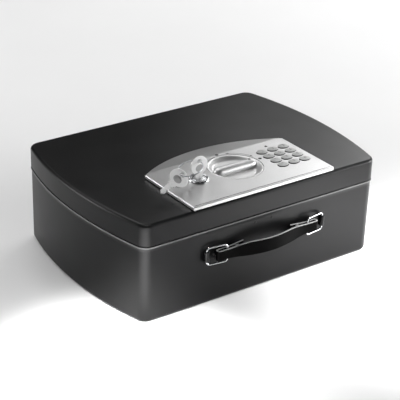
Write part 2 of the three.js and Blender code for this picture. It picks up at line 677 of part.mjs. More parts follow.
// A dished disc crossed by a raised, round-topped finger bar, on a short hub.
function knob() {
  const rim = PANEL_TOP - 0.2;
  const dish = turned([
    [0, KNOB_BOTTOM], [KNOB_FLANGE_RADIUS, KNOB_BOTTOM],
    [KNOB_FLANGE_RADIUS, KNOB_BOTTOM + 1.7], [KNOB_RADIUS, KNOB_BOTTOM + 1.7],
    [KNOB_RADIUS, rim - 0.3], [KNOB_RADIUS - 0.3, rim], [KNOB_RADIUS - 1, rim],
    [KNOB_RADIUS - 2, rim - 0.7], [KNOB_RADIUS - 3.2, KNOB_FLOOR + 1],
    [KNOB_RADIUS - 4.4, KNOB_FLOOR + 0.2], [KNOB_RADIUS - 6, KNOB_FLOOR], [0, KNOB_FLOOR],
  ], KNOB_X, KNOB_Y, 36);
  const outline = stadium(KNOB_X, KNOB_Y, BAR_HALF_LENGTH, BAR_HALF_WIDTH);
  const bar = prism(outline, KNOB_BOTTOM + 1, BAR_TOP, 0, 8);
  const [left, right] = [KNOB_X - KNOB_RADIUS, KNOB_X + KNOB_RADIUS];
  const [front, rear] = [KNOB_Y - KNOB_RADIUS, KNOB_Y + KNOB_RADIUS];
  const crown = barAlongX(KNOB_Y, BAR_TOP - BAR_CROWN_RADIUS, BAR_CROWN_RADIUS, left, right, 48);
  const foot = box(left, right, front, rear, KNOB_BOTTOM, KNOB_FLOOR + 1);
  const roundedBar = bar.intersect(join(crown, foot));
  const hub = post(KNOB_X, KNOB_Y, HUB_RADIUS, CAM_TOP + GAP, KNOB_BOTTOM + 1);
  return join(dish, roundedBar, hub);
}

// Radius of the scroll after a part of a turn. It grows evenly, so the bolt moves evenly.
function scrollRadius(turn) {
  return SCROLL_START + BOLT_STROKE * turn / (Math.PI / 2);
}

// A point of the scroll slot: side -1 and 1 are its walls and 0 is its middle line.
function scrollPoint(turn, side) {
  const rate = BOLT_STROKE / (Math.PI / 2);
  const half = (PIN_RADIUS + PIN_PLAY) * Math.hypot(1, rate / scrollRadius(turn));
  const radius = scrollRadius(turn) + side * half;
  const angle = -Math.PI / 2 - turn;
  return [KNOB_X + radius * Math.cos(angle), KNOB_Y + radius * Math.sin(angle)];
}

// Disc with a scroll slot: a quarter turn carries the bolt's pin outwards at an even rate.
function knobCam() {
  const over = THREE.MathUtils.degToRad(4);
  const steps = 12;
  const turns = Array.from({ length: steps + 1 }, (_, i) => -over + (Math.PI / 2 + 2 * over) * i / steps);
  const slot = new THREE.Shape();
  slot.moveTo(...scrollPoint(turns[0], 1));
  turns.slice(1).forEach((turn) => slot.lineTo(...scrollPoint(turn, 1)));
  [...turns].reverse().forEach((turn) => slot.lineTo(...scrollPoint(turn, -1)));
  const ends = [0, Math.PI / 2].map((turn) => {
    const [x, y] = scrollPoint(turn, 0);
    return post(x, y, PIN_RADIUS + PIN_PLAY, CAM_BOTTOM - 1, CAM_TOP + 1, 20);
  });
  const notch = box(NOTCH.left, NOTCH.right, NOTCH.front, NOTCH.rear, CAM_BOTTOM - 1, CAM_TOP + 1)
    .translate([-KNOB_X, -KNOB_Y, 0]).rotate([0, 0, -90]).translate([KNOB_X, KNOB_Y, 0]);
  return cut(
    post(KNOB_X, KNOB_Y, CAM_RADIUS, CAM_BOTTOM, CAM_TOP, 40),
    prism(slot, CAM_BOTTOM - 1, CAM_TOP + 1),
    notch,
    ...ends,
  );
}

// Flat bar with an upright pin that runs in the cam's scroll.
function boltBar() {
  const pinY = KNOB_Y - SCROLL_START;
  const [left, right] = [KNOB_X - BOLT_HALF_WIDTH, KNOB_X + BOLT_HALF_WIDTH];
  return join(
    box(left, right, BOLT_TIP_Y, BOLT_TAIL_Y, BOLT_BOTTOM, BOLT_TOP),
    post(KNOB_X, pinY, PIN_RADIUS, BOLT_BOTTOM + 1, CAM_TOP - 0.4, 20),
  );
}

function solenoidCoil() {
  const { left, right, front, rear, top } = SOLENOID;
  const body = box(left, right, front, rear, COVER.floor + GAP, top);
  const boreRadius = PLUNGER.radius + PLUNGER.play;
  return cut(body, barAlongX(PLUNGER.y, PLUNGER.z, boreRadius, PLUNGER.left - 3, right + 8, 16));
}

function solenoidPlunger() {
  return barAlongX(PLUNGER.y, PLUNGER.z, PLUNGER.radius, PLUNGER.left, PLUNGER.right, 12);
}

// ---------------------------------------------------------------- override lock

function lockBarrel() {
  const seat = PANEL_TOP + GAP;
  return cut(
    turned([
      [0, PLUG_BOTTOM + 2], [BARREL_RADIUS, PLUG_BOTTOM + 2], [BARREL_RADIUS, seat],
      [11, seat], [11, seat + 0.7], [10.2, seat + 1.5],
      [8.4, seat + 1.5], [7.4, seat + 0.8], [0, seat + 0.8],
    ], LOCK_X, LOCK_Y, 24),
    post(LOCK_X, LOCK_Y, PLUG_RADIUS + GAP, PLUG_BOTTOM, PANEL_TOP + 4),
  );
}

function lockNut() {
  return cut(
    post(LOCK_X, LOCK_Y, NUT.radius, NUT.bottom, LID_UNDERSIDE - GAP, 6),
    post(LOCK_X, LOCK_Y, BARREL_RADIUS + GAP, NUT.bottom - 1, LID_UNDERSIDE + 1),
  );
}

function lockPlug() {
  const keyway = box(
    LOCK_X - KEYWAY.halfWidth, LOCK_X + KEYWAY.halfWidth,
    LOCK_Y - KEYWAY.halfDepth, LOCK_Y + KEYWAY.halfDepth,
    KEYWAY.bottom, LOCK_FACE + 1,
  );
  return cut(post(LOCK_X, LOCK_Y, PLUG_RADIUS, PLUG_BOTTOM, LOCK_FACE), keyway);
}

function overrideCam() {
  const shape = new THREE.Shape();
  const { hubRadius, reach, tipRadius, thickness } = OVERRIDE_CAM;
  shape.absarc(LOCK_X, LOCK_Y, hubRadius, Math.PI / 2, 1.5 * Math.PI);
  shape.absarc(LOCK_X + reach, LOCK_Y, tipRadius, -Math.PI / 2, Math.PI / 2);
  return prism(shape, PLUG_BOTTOM - GAP - thickness, PLUG_BOTTOM - GAP, 0, 10);
}

// Flat outline of a key: round bow with a hole, shoulder and cut blade. The bow's centre is at
// the origin and the blade points along -Y.
function keyOutline() {
  const neck = -Math.sqrt(KEY_BOW_RADIUS ** 2 - KEY_SHOULDER ** 2);
  const neckAngle = Math.asin(KEY_SHOULDER / KEY_BOW_RADIUS);
  const bladeTop = neck - KEY_SHOULDER_LENGTH;
  const toothStart = -KEY_REACH + KEY_TIP;
  const pitch = (bladeTop - toothStart - 1.5) / KEY_CUTS.length;
  const shape = new THREE.Shape();
  shape.absarc(0, 0, KEY_BOW_RADIUS, -Math.PI / 2 + neckAngle, 1.5 * Math.PI - neckAngle);
  shape.lineTo(-KEY_SHOULDER, bladeTop);
  shape.lineTo(-KEY_BLADE, bladeTop);
  shape.lineTo(-KEY_BLADE, toothStart);
  shape.lineTo(0, -KEY_REACH);
  shape.lineTo(KEY_BLADE - 0.6, toothStart);
  KEY_CUTS.forEach((depth, i) => {
    const low = toothStart + 0.6 + i * pitch;
    shape.lineTo(KEY_BLADE - depth, low + 0.5);
    shape.lineTo(KEY_BLADE - depth, low + 1.1);
    shape.lineTo(KEY_BLADE, low + 1.8);
  });
  shape.lineTo(KEY_BLADE, bladeTop);
  shape.lineTo(KEY_SHOULDER, bladeTop);
  const hole = new THREE.Path();
  hole.absarc(0, KEY_HOLE_OFFSET, KEY_HOLE_RADIUS, 0, 2 * Math.PI, true);
  shape.holes.push(hole);
  return shape;
}

// The key's flat faces look along Z.
function keyBlank() {
  const geometry = new THREE.ExtrudeGeometry(keyOutline(), {
    depth: KEY_THICKNESS - 2 * KEY_EDGE,
    curveSegments: 10,
    bevelEnabled: true,
    bevelThickness: KEY_EDGE,
    bevelSize: KEY_EDGE,
    bevelOffset: -KEY_EDGE,
    bevelSegments: 1,
  });
  geometry.translate(0, 0, KEY_EDGE - KEY_THICKNESS / 2);
  return geometry;
}

function insertedKey() {
  const geometry = keyBlank();
  geometry.rotateX(Math.PI / 2);
  geometry.translate(...KEY_BOW_CENTRE);
  return toSolid(geometry);
}

function spareDirection() {
  return SPARE_TIP.clone().sub(SPARE_BOW_CENTRE).normalize();
}

function spareKey() {
  const along = spareDirection().negate();
  const face = SPARE_FACING.clone().addScaledVector(along, -SPARE_FACING.dot(along)).normalize();
  const across = new THREE.Vector3().crossVectors(along, face);
  const pose = new THREE.Matrix4().makeBasis(across, along, face).setPosition(SPARE_BOW_CENTRE);
  return toSolid(keyBlank().applyMatrix4(pose));
}

// Split ring through the holes of both bows.
function keyRing() {
  const first = KEY_BOW_CENTRE.clone().add(new THREE.Vector3(0, 0, KEY_HOLE_OFFSET));
  const second = SPARE_BOW_CENTRE.clone().addScaledVector(spareDirection(), -KEY_HOLE_OFFSET);
  const across = first.clone().sub(second);
  const radius = across.length() / 2;
  across.normalize();
  const depth = new THREE.Vector3(0, 1, 0);
  depth.addScaledVector(across, -depth.dot(across)).normalize();
  const normal = new THREE.Vector3().crossVectors(across, depth);
  const middle = first.add(second).multiplyScalar(0.5);
  const geometry = new THREE.TorusGeometry(radius, RING_WIRE, 6, 32);
  geometry.applyMatrix4(new THREE.Matrix4().makeBasis(across, depth, normal).setPosition(middle));
  return toSolid(geometry);
}

// ---------------------------------------------------------------- inner cover and power

// A tray under the lid's top, open upwards, with a boss at each screw.
function coverTray(top) {
  const { left, right, front, rear, bottom, floor, wall } = COVER;
  const outside = box(left, right, front, rear, bottom, top);
  const inside = box(left + wall, right - wall, front + wall, rear - wall, floor, top + 1);
  const bosses = COVER_SCREWS.map(([x, y]) => post(x, y, COVER_BOSS_RADIUS, floor - 1, top - 0.5, 12));
  return join(cut(outside, inside), ...bosses);
}

// The tray with a bed for the bolt, a frame round the batteries and two rails for their door.
function lockCover() {
  const bed = COVER.floor - 1;
  const boltBed = box(
    KNOB_X - BOLT_BED.half, KNOB_X + BOLT_BED.half, COVER.front + 1, BOLT_BED.rear, bed, CAM_BOTTOM + 1,
  );
  const boltRest = box(
    KNOB_X - BOLT_REST.half, KNOB_X + BOLT_REST.half, BOLT_REST.front, BOLT_REST.rear,
    bed, BOLT_BOTTOM - GAP,
  );
  const bayEdge = BAY.half + BAY.wall;
  const bayBlock = box(-bayEdge, bayEdge, BAY.front - BAY.wall, BAY.rear + BAY.wall, bed, BAY.top);
  const rail = box(
    RAIL.inner, RAIL.outer, BAY.front - 2, COVER.rear - 1, RAIL.bottom, COVER.bottom + 0.5,
  );
  const whole = join(coverTray(BOARD.bottom - GAP), boltBed, boltRest, bayBlock, rail, mirrorX(rail));
  return cut(whole, ...coverWays());
}

// Everything cut out of the cover: the bolt's way, the battery bay, the door's way and screw holes.
function coverWays() {
  const boltHalf = BOLT_HALF_WIDTH + 0.4;
  const boltWay = box(
    KNOB_X - boltHalf, KNOB_X + boltHalf, COVER.front - 1, BOLT_BED.rear + 1,
    BOLT_BOTTOM - GAP, CAM_BOTTOM + 2,
  );
  const bay = box(-BAY.half, BAY.half, BAY.front, BAY.rear, COVER.bottom - 1, BAY.top + 1);
  const doorWay = box(
    -DOOR_WAY.half, DOOR_WAY.half, BAY.front - 3, COVER.rear + 1, DOOR_WAY.bottom, COVER.bottom,
  );
  const screwWays = COVER_SCREWS.map(([x, y]) => post(x, y, SCREW.way, COVER.bottom - 1, 100, 12));
  return [boltWay, bay, doorWay, ...screwWays];
}

function coverScrew(x, y) {
  const top = COVER.bottom - GAP;
  const bottom = top - SCREW.headHeight;
  return turned([
    [0, bottom], [SCREW.head - 0.6, bottom], [SCREW.head, bottom + 0.6], [SCREW.head, top],
    [SCREW.shank, top], [SCREW.shank, SCREW.tip - 1.2], [0, SCREW.tip],
  ], x, y, 12);
}

function batteryDoor() {
  return join(
    box(-DOOR.half, DOOR.half, BAY.front - 1, BAY.rear + 2, DOOR.bottom, DOOR.top),
    box(-DOOR_PULL.half, DOOR_PULL.half, DOOR_PULL.front, DOOR_PULL.rear, DOOR_PULL.bottom, DOOR.top - 1),
  );
}

function battery(index) {
  const x = (index - 1.5) * BATTERY.pitch;
  const end = BATTERY.front + BATTERY.length;
  const flipped = index % 2 === 1;
  const face = flipped ? BATTERY.front : end;
  return join(
    barAlongY(x, BATTERY.z, BATTERY.radius, BATTERY.front, end, 20),
    barAlongY(x, BATTERY.z, BATTERY.nubRadius, face - BATTERY.nubLength, face + BATTERY.nubLength, 10),
  );
}

// ---------------------------------------------------------------- assembly

const cashBox = new THREE.Group();
const base = new THREE.Group();
const lid = new THREE.Group();
const handle = new THREE.Group();
cashBox.add(base, lid, handle);

function addPart(parent, name, solid, look) {
  const mesh = new THREE.Mesh(toGeometry(solid), new THREE.MeshStandardMaterial(look));
  mesh.name = name;
  parent.add(mesh);
}

function addBase() {
  addPart(base, 'base_shell', baseShell(), black);
  addPart(base, 'floor_mat', floorMat(), felt);
  addPart(base, 'strike_plate', strikePlate(), steel);
  const [leftRivet, rightRivet] = strikeRivetX();
  addPart(base, 'strike_rivet_left', strikeRivet(leftRivet), black);
  addPart(base, 'strike_rivet_right', strikeRivet(rightRivet), black);
  addPart(base, 'hinge_base_leaf_left', hingeBaseLeaf(-HINGE_X), black);
  addPart(base, 'hinge_base_leaf_right', hingeBaseLeaf(HINGE_X), black);
  addPart(base, 'hinge_pin_left', hingePin(-HINGE_X), steel);
  addPart(base, 'hinge_pin_right', hingePin(HINGE_X), steel);
}

function addHandle() {
  addPart(handle, 'handle_grip', handleGrip(), darkPlastic);
  addPart(handle, 'handle_loop_left', mirrorX(handleLoop()), chrome);
  addPart(handle, 'handle_loop_right', handleLoop(), chrome);
  addPart(handle, 'handle_bracket_left', mirrorX(handleBracket()), black);
  addPart(handle, 'handle_bracket_right', handleBracket(), black);
  addPart(handle, 'handle_rivet_left', handleRivet(-1), steel);
  addPart(handle, 'handle_rivet_right', handleRivet(1), steel);
}

function addLidStructure() {
  addPart(lid, 'lid_shell', lidShell(), black);
  addPart(lid, 'hinge_lid_leaf_left', hingeLidLeaf(-HINGE_X), black);
  addPart(lid, 'hinge_lid_leaf_right', hingeLidLeaf(HINGE_X), black);
  addPart(lid, 'panel_bezel', panelBezel(), silver);
  addPart(lid, 'faceplate', faceplate(), silver);
  addPart(lid, 'lock_cover', lockCover(), darkPlastic);
  COVER_SCREWS.forEach(([x, y], i) => addPart(lid, `cover_screw_${i + 1}`, coverScrew(x, y), steel));
}

function addKeypad() {
  addPart(lid, 'keypad_board', keypadBoard(), boardGreen);
  addPart(lid, 'status_led', statusLed(), redLens);
  buttonPlaces().forEach(([x, y], i) => addPart(lid, `keypad_button_${i + 1}`, keypadButton(x, y), rubber));
}

function addLatch() {
  addPart(lid, 'latch_knob', knob(), silver);
  addPart(lid, 'knob_cam', knobCam(), steel);
  addPart(lid, 'bolt_bar', boltBar(), steel);
  addPart(lid, 'solenoid_coil', solenoidCoil(), copper);
  addPart(lid, 'solenoid_plunger', solenoidPlunger(), steel);
}

function addLock() {
  addPart(lid, 'lock_barrel', lockBarrel(), chrome);
  addPart(lid, 'lock_nut', lockNut(), brass);
  addPart(lid, 'lock_plug', lockPlug(), chrome);
  addPart(lid, 'override_cam', overrideCam(), steel);
  addPart(lid, 'inserted_key', insertedKey(), chrome);
  addPart(lid, 'key_ring', keyRing(), steel);
  addPart(lid, 'spare_key', spareKey(), chrome);
}

function addPower() {
  addPart(lid, 'battery_door', batteryDoor(), darkPlastic);
  for (let i = 0; i < 4; i += 1) addPart(lid, `battery_${i + 1}`, battery(i), batterySleeve);
}

addBase();
addHandle();
addLidStructure();
addKeypad();
addLatch();
addLock();
addPower();

export default cashBox;
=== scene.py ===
# Finished looks for a steel cash box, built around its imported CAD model.
import math

import bmesh
import bpy
from mathutils import Matrix, Quaternion, Vector


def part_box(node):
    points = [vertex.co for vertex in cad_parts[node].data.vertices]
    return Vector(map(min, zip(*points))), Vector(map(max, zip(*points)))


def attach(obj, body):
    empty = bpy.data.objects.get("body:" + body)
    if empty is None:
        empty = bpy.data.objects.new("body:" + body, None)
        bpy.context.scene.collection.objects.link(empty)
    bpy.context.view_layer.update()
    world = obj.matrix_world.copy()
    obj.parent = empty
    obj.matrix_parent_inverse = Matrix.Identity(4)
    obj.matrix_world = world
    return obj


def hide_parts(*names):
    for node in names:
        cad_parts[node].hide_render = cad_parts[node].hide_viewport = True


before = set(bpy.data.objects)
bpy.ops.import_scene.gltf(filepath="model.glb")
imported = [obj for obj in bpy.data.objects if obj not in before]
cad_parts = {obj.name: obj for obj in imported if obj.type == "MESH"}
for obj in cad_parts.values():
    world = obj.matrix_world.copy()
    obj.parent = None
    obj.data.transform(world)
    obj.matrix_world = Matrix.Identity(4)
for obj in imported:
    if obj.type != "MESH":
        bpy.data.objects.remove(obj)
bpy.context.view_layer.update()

# Lengths are millimetres, as in the CAD, and turn into metres where a mesh is made.
MM = 0.001
# Points of a mesh closer than these are one point.
SETTLE_WELD = 0.002
PLATE_WELD = 0.003
AXIS_Y = Vector((0, 1, 0))
AXIS_Z = Vector((0, 0, 1))


def box_mm(node):
    low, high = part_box(node)
    return low / MM, high / MM


# ---------------------------------------------------------------- dimensions

BASE_HIGH = box_mm("base_shell")[1]
LID_LOW, LID_HIGH = box_mm("lid_shell")
PANEL_LOW, PANEL_HIGH = box_mm("panel_bezel")
PLATE_LOW, PLATE_HIGH = box_mm("faceplate")
KNOB_LOW, KNOB_HIGH = box_mm("latch_knob")

# Case plan: straight front and back, bowed sides, round upright corners.
HALF_DEPTH = BASE_HIGH.y
HALF_WIDTH = BASE_HIGH.x
SIDE_BOW = 15.9
CORNER_RADIUS = 12
SIDE_RADIUS = (HALF_DEPTH**2 + SIDE_BOW**2) / (2 * SIDE_BOW)
SIDE_CENTRE = HALF_WIDTH - SIDE_RADIUS
CORNER_Y = HALF_DEPTH - CORNER_RADIUS
CORNER_REACH = math.sqrt((SIDE_RADIUS - CORNER_RADIUS) ** 2 - CORNER_Y**2)
CORNER_X = SIDE_CENTRE + CORNER_REACH
SIDE_SWEEP = math.atan2(CORNER_Y, CORNER_REACH)
FRONT = -HALF_DEPTH

BASE_WALL = 1.6
BASE_EDGE = 4
RIM_Z = 84
RIM_EDGE = 1.0
RIM_FLARE = 1.1
LIP_TOP = BASE_HIGH.z
LIP_INSET = 3
LIP_FOOT = 73

LID_BOTTOM = LID_LOW.z
LID_TOP = LID_HIGH.z
LID_PROUD = 0.7
LID_WALL = 1.5
LID_EDGE = 3.5
LID_UNDERSIDE = LID_TOP - BASE_WALL

PANEL_TOP = PANEL_HIGH.z
PANEL_HALF = PANEL_HIGH.x
PANEL_REAR = PANEL_HIGH.y
PANEL_SIDE_END = -26
CREASE_Y = -23
CREASE_DROP = 2.4
HOLE_PLAY = 0.4

KNOB = Vector((1.5, -57, 0))
KNOB_RADIUS = 29.5
KNOB_FLOOR = LID_TOP + 0.4
BAR_TOP = KNOB_HIGH.z
BAR_HALF_LENGTH = 26
BAR_HALF_WIDTH = 6.5

LOCK = Vector((-47.8, -62.3, 0))
LOCK_FACE = PANEL_TOP + 1.2
BARREL_RADIUS = 9.4
PLUG_RADIUS = 6.5
KEY_BOW_CENTRE = Vector((LOCK.x, LOCK.y, LID_TOP + 19.8))
SPARE_BOW_CENTRE = Vector((-76.2, -68.3, LID_TOP + 15.3))
SPARE_TIP = Vector((-101, -74.6, LID_TOP + 7.8))
SPARE_FACING = Vector((-0.527, -0.725, 0.445))
KEY_BOW_RADIUS = 10
KEY_HOLE_OFFSET = 4.6
KEY_HOLE_RADIUS = 2.8
KEY_REACH = 27
KEY_THICKNESS = 2
KEY_DISC_Y = -2.6
KEY_DISC_HALF_WIDTH = 4.6
KEY_DISC_HALF_HEIGHT = 4.0

BUTTON_HALF_WIDTH = 6.2
BUTTON_HALF_DEPTH = 4.7
BUTTON_NODES = [f"keypad_button_{i}" for i in range(1, 13)]
BUTTON_SIGNS = "123456789*0#"
LED_RADIUS = 1.5
DOT_RADIUS = 1.9

HANDLE_Z = 56
GRIP_LOW, GRIP_HIGH = box_mm("handle_grip")
GRIP_MIDDLE_Z = (GRIP_LOW.z + GRIP_HIGH.z) / 2
GRIP_TIP = GRIP_HIGH.x
GRIP_STANDOFF = 9.8
GRIP_ARCH = 6.4
GRIP_ARCH_HALF = 50
GRIP_THICKNESS = 2
FOLD_END = 30
FOLD_STANDOFF = 3.4
FOLD_HALF_THICKNESS = 0.9
LOOP_X = 73.3
LOOP_STANDOFF = 3.3
LOOP_REACH = 22.6
LOOP_ANGLE = math.radians(9)
LOOP_HALF_HEIGHT = 9.4
WIRE_RADIUS = 1
HANDLE_RIVET_X = 62


# ---------------------------------------------------------------- camera and stage

CAMERA_PLACE = Vector((-0.7552, -1.0395, 0.6891))
CAMERA_TARGET = Vector((0.0118, 0.0162, 0.0403))
CAMERA_ROLL = 0.030
CAMERA_LENS = 120.09
SENSOR_WIDTH = 36
SPOT_RADIUS = 0.08
FLOOR_HALF = 6000


def add_object(name, data):
    obj = bpy.data.objects.new(name, data)
    bpy.context.scene.collection.objects.link(obj)
    return obj


def stand(obj, location, turn):
    obj.location = location
    obj.rotation_mode = "QUATERNION"
    obj.rotation_quaternion = turn


def add_camera():
    data = bpy.data.cameras.new("camera")
    data.lens = CAMERA_LENS
    data.sensor_width = SENSOR_WIDTH
    camera = add_object("camera", data)
    aim = (CAMERA_TARGET - CAMERA_PLACE).to_track_quat("-Z", "Y")
    stand(camera, CAMERA_PLACE, aim @ Quaternion(AXIS_Z, CAMERA_ROLL))
    bpy.context.scene.camera = camera


def add_softbox(name, azimuth, elevation, distance, size, strength):
    """A rectangular light. Azimuth 0 is in front of the box, 90 on its right, 180 behind it."""
    a, e = math.radians(azimuth), math.radians(elevation)
    way = Vector((math.sin(a) * math.cos(e), -math.cos(a) * math.cos(e), math.sin(e)))
    data = bpy.data.lights.new(name, "AREA")
    data.shape = "RECTANGLE"
    data.size, data.size_y = size
    data.energy = strength * size[0] * size[1] * math.pi
    stand(add_object(name, data), way * distance, way.to_track_quat("Z", "Y"))


def add_spot(name, place, target, angle, power):
    """A narrow light that brightens one patch of the floor. Lengths are in metres."""
    data = bpy.data.lights.new(name, "SPOT")
    data.energy = power
    data.spot_size = math.radians(angle)
    data.spot_blend = 1.0
    data.shadow_soft_size = SPOT_RADIUS
    aim = (Vector(target) - Vector(place)).to_track_quat("-Z", "Y")
    stand(add_object(name, data), place, aim)


def add_world(brightness):
    world = bpy.data.worlds.new("studio")
    world.use_nodes = True
    background = world.node_tree.nodes["Background"]
    background.inputs["Color"].default_value = (brightness, brightness, brightness, 1)
    bpy.context.scene.world = world


def add_floor(material):
    half = FLOOR_HALF
    corners = [(-half, -half, 0), (half, -half, 0), (half, half, 0), (-half, half, 0)]
    floor = make_object("floor", corners, [(0, 1, 2, 3)])
    floor.data.materials.append(material)


# ---------------------------------------------------------------- mesh helpers


def make_object(name, points, faces):
    mesh = bpy.data.meshes.new(name)
    mesh.from_pydata([Vector(p) * MM for p in points], [], faces)
    mesh.update()
    return add_object(name, mesh)


def finished_mesh(obj):
    """The mesh of an object with its modifiers, or its curve or text settings, applied."""
    evaluated = obj.evaluated_get(bpy.context.evaluated_depsgraph_get())
    return bpy.data.meshes.new_from_object(evaluated)


def weld(obj, distance):
    """Joins points closer than the distance, in millimetres, and turns all faces outwards."""
    mesh = bmesh.new()
    mesh.from_mesh(obj.data)
    bmesh.ops.remove_doubles(mesh, verts=mesh.verts, dist=distance * MM)
    bmesh.ops.recalc_face_normals(mesh, faces=mesh.faces)
    mesh.to_mesh(obj.data)
    mesh.free()


def two_tone(obj, main, other, chosen):
    """Two materials: the other one goes on faces for which chosen(middle in mm, normal) is true."""
    obj.data.materials.append(main)
    obj.data.materials.append(other)
    for face in obj.data.polygons:
        if chosen(face.center / MM, face.normal):
            face.material_index = 1


def settle(obj, material, body, replaces=(), sharp=35):
    """Cleans and smooths a mesh, gives it its material and fixes it to its body."""
    weld(obj, SETTLE_WELD)
    obj.data.shade_smooth()
    obj.data.set_sharp_from_angle(angle=math.radians(sharp))
    add_weighted_normals(obj)
    if not obj.data.materials:
        obj.data.materials.append(material)
    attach(obj, body)
    if replaces:
        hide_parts(*replaces)
    return obj


def add_weighted_normals(obj):
    modifier = obj.modifiers.new("normals", "WEIGHTED_NORMAL")
    modifier.keep_sharp = True


def merge(name, *objects):
    """One object holding the meshes of several."""
    whole = bmesh.new()
    for obj in objects:
        whole.from_mesh(obj.data)
        bpy.data.objects.remove(obj)
    mesh = bpy.data.meshes.new(name)
    whole.to_mesh(mesh)
    whole.free()
    return add_object(name, mesh)


def carve(obj, *tools, operation="DIFFERENCE"):
    """Cuts each tool out of obj, or joins it on, and removes the tool."""
    for tool in tools:
        modifier = obj.modifiers.new("carve", "BOOLEAN")
        modifier.operation = operation
        modifier.solver = "EXACT"
        modifier.object = tool
        mesh = finished_mesh(obj)
        obj.modifiers.clear()
        obj.data = mesh
        bpy.data.objects.remove(tool)
    return obj


def place(obj, matrix):
    """Moves a mesh made about the origin; the matrix is in millimetres."""
    scaled = matrix.copy()
    scaled.translation = scaled.translation * MM
    obj.data.transform(scaled)
    return obj


def loft(name, rings, caps=True):
    """A skin through rings with equal numbers of points, closed at both ends."""
    count = len(rings[0])
    points = [p for ring in rings for p in ring]
    faces = []
    for r in range(len(rings) - 1):
        for i in range(count):
            j = (i + 1) % count
            faces.append((r * count + i, r * count + j, (r + 1) * count + j, (r + 1) * count + i))
    if caps:
        faces.append(tuple(reversed(range(count))))
        faces.append(tuple(range((len(rings) - 1) * count, len(rings) * count)))
    return make_object(name, points, faces)


def spin(name, profile, sides=48, stretch=(1, 1)):
    """A solid turned about the Z axis from (radius, z) pairs; end radii of 0 become flat caps."""
    inner = 0.02
    rings = []
    for radius, z in profile:
        r = max(radius, inner)
        turns = [2 * math.pi * i / sides for i in range(sides)]
        rings.append([(r * stretch[0] * math.cos(t), r * stretch[1] * math.sin(t), z) for t in turns])
    return loft(name, rings)


def tube(name, path, radius, sides=12, closed=False):
    """A round bar along a path of points."""
    path = [Vector(p) for p in path]
    count = len(path)
    rings = []
    across = None
    for i, point in enumerate(path):
        before = path[i - 1] if i or closed else path[0]
        after = path[(i + 1) % count] if i < count - 1 or closed else path[-1]
        along = (after - before).normalized()
        if across is None:
            across = along.orthogonal().normalized()
        across = (across - along * across.dot(along)).normalized()
        other = along.cross(across)
        turns = [2 * math.pi * k / sides for k in range(sides)]
        rings.append([point + (across * math.cos(t) + other * math.sin(t)) * radius for t in turns])
    if closed:
        rings.append(rings[0])
    return loft(name, rings, caps=not closed)


def plate(name, outlines, z0, z1, edge=0.0, steps=2):
    """A flat sheet with rounded edges; every outline inside the first one is a hole."""
    curve = bpy.data.curves.new(name, "CURVE")
    curve.dimensions = "2D"
    curve.fill_mode = "BOTH"
    curve.extrude = ((z1 - z0) / 2 - edge) * MM
    curve.bevel_depth = edge * MM
    curve.bevel_resolution = steps
    curve.offset = -edge * MM
    for outline in outlines:
        spline = curve.splines.new("POLY")
        spline.points.add(len(outline) - 1)
        for point, (x, y) in zip(spline.points, outline):
            point.co = (x * MM, y * MM, 0, 1)
        spline.use_cyclic_u = True
    source = add_object(name, curve)
    mesh = finished_mesh(source)
    bpy.data.objects.remove(source)
    mesh.transform(Matrix.Translation((0, 0, (z0 + z1) / 2 * MM)))
    obj = add_object(name, mesh)
    weld(obj, PLATE_WELD)
    return obj


def arc(x, y, radius, start, end, steps):
    """Points on an arc, with angles in radians."""
    turns = [start + (end - start) * i / steps for i in range(steps + 1)]
    return [(x + radius * math.cos(t), y + radius * math.sin(t)) for t in turns]


def ellipse(x, y, half_width, half_depth, steps=40):
    turns = [2 * math.pi * i / steps for i in range(steps)]
    return [(x + half_width * math.cos(t), y + half_depth * math.sin(t)) for t in turns]


def circle(middle, radius, steps=40):
    return ellipse(middle.x, middle.y, radius, radius, steps)


def rectangle(x0, x1, y0, y1, radius=0.0, steps=4):
    if not radius:
        return [(x0, y0), (x1, y0), (x1, y1), (x0, y1)]
    quarter = math.pi / 2
    corners = [(x1, y0, -1), (x1, y1, 0), (x0, y1, 1), (x0, y0, 2)]
    outline = []
    for x, y, turn in corners:
        cx = x - radius if x == x1 else x + radius
        cy = y - radius if y == y1 else y + radius
        outline += arc(cx, cy, radius, turn * quarter, (turn + 1) * quarter, steps)
    return outline


def smooth_step(t):
    t = min(1.0, max(0.0, t))
    return t * t * (3 - 2 * t)


# ---------------------------------------------------------------- materials


def material(name, color, roughness, metallic=0.0, **sockets):
    made = bpy.data.materials.new(name)
    made.use_nodes = True
    shader = made.node_tree.nodes["Principled BSDF"]
    shader.inputs["Base Color"].default_value = (*color, 1)
    shader.inputs["Roughness"].default_value = roughness
    shader.inputs["Metallic"].default_value = metallic
    for socket, value in sockets.items():
        shader.inputs[socket.replace("_", " ")].default_value = value
    return made


def add_noise(made, scale, detail=3.0, stretch=(1, 1, 1)):
    """A noise pattern; scale is in repeats per metre."""
    nodes, links = made.node_tree.nodes, made.node_tree.links
    coordinates = nodes.new("ShaderNodeTexCoord")
    mapping = nodes.new("ShaderNodeMapping")
    mapping.inputs["Scale"].default_value = stretch
    noise = nodes.new("ShaderNodeTexNoise")
    noise.inputs["Scale"].default_value = scale
    noise.inputs["Detail"].default_value = detail
    links.new(coordinates.outputs["Object"], mapping.inputs["Vector"])
    links.new(mapping.outputs["Vector"], noise.inputs["Vector"])
    return noise.outputs["Fac"]


def add_cells(made, scale):
    """A pattern of small pits or pebbles; scale is in repeats per metre."""
    nodes, links = made.node_tree.nodes, made.node_tree.links
    coordinates = nodes.new("ShaderNodeTexCoord")
    cells = nodes.new("ShaderNodeTexVoronoi")
    cells.inputs["Scale"].default_value = scale
    links.new(coordinates.outputs["Object"], cells.inputs["Vector"])
    return cells.outputs["Distance"]


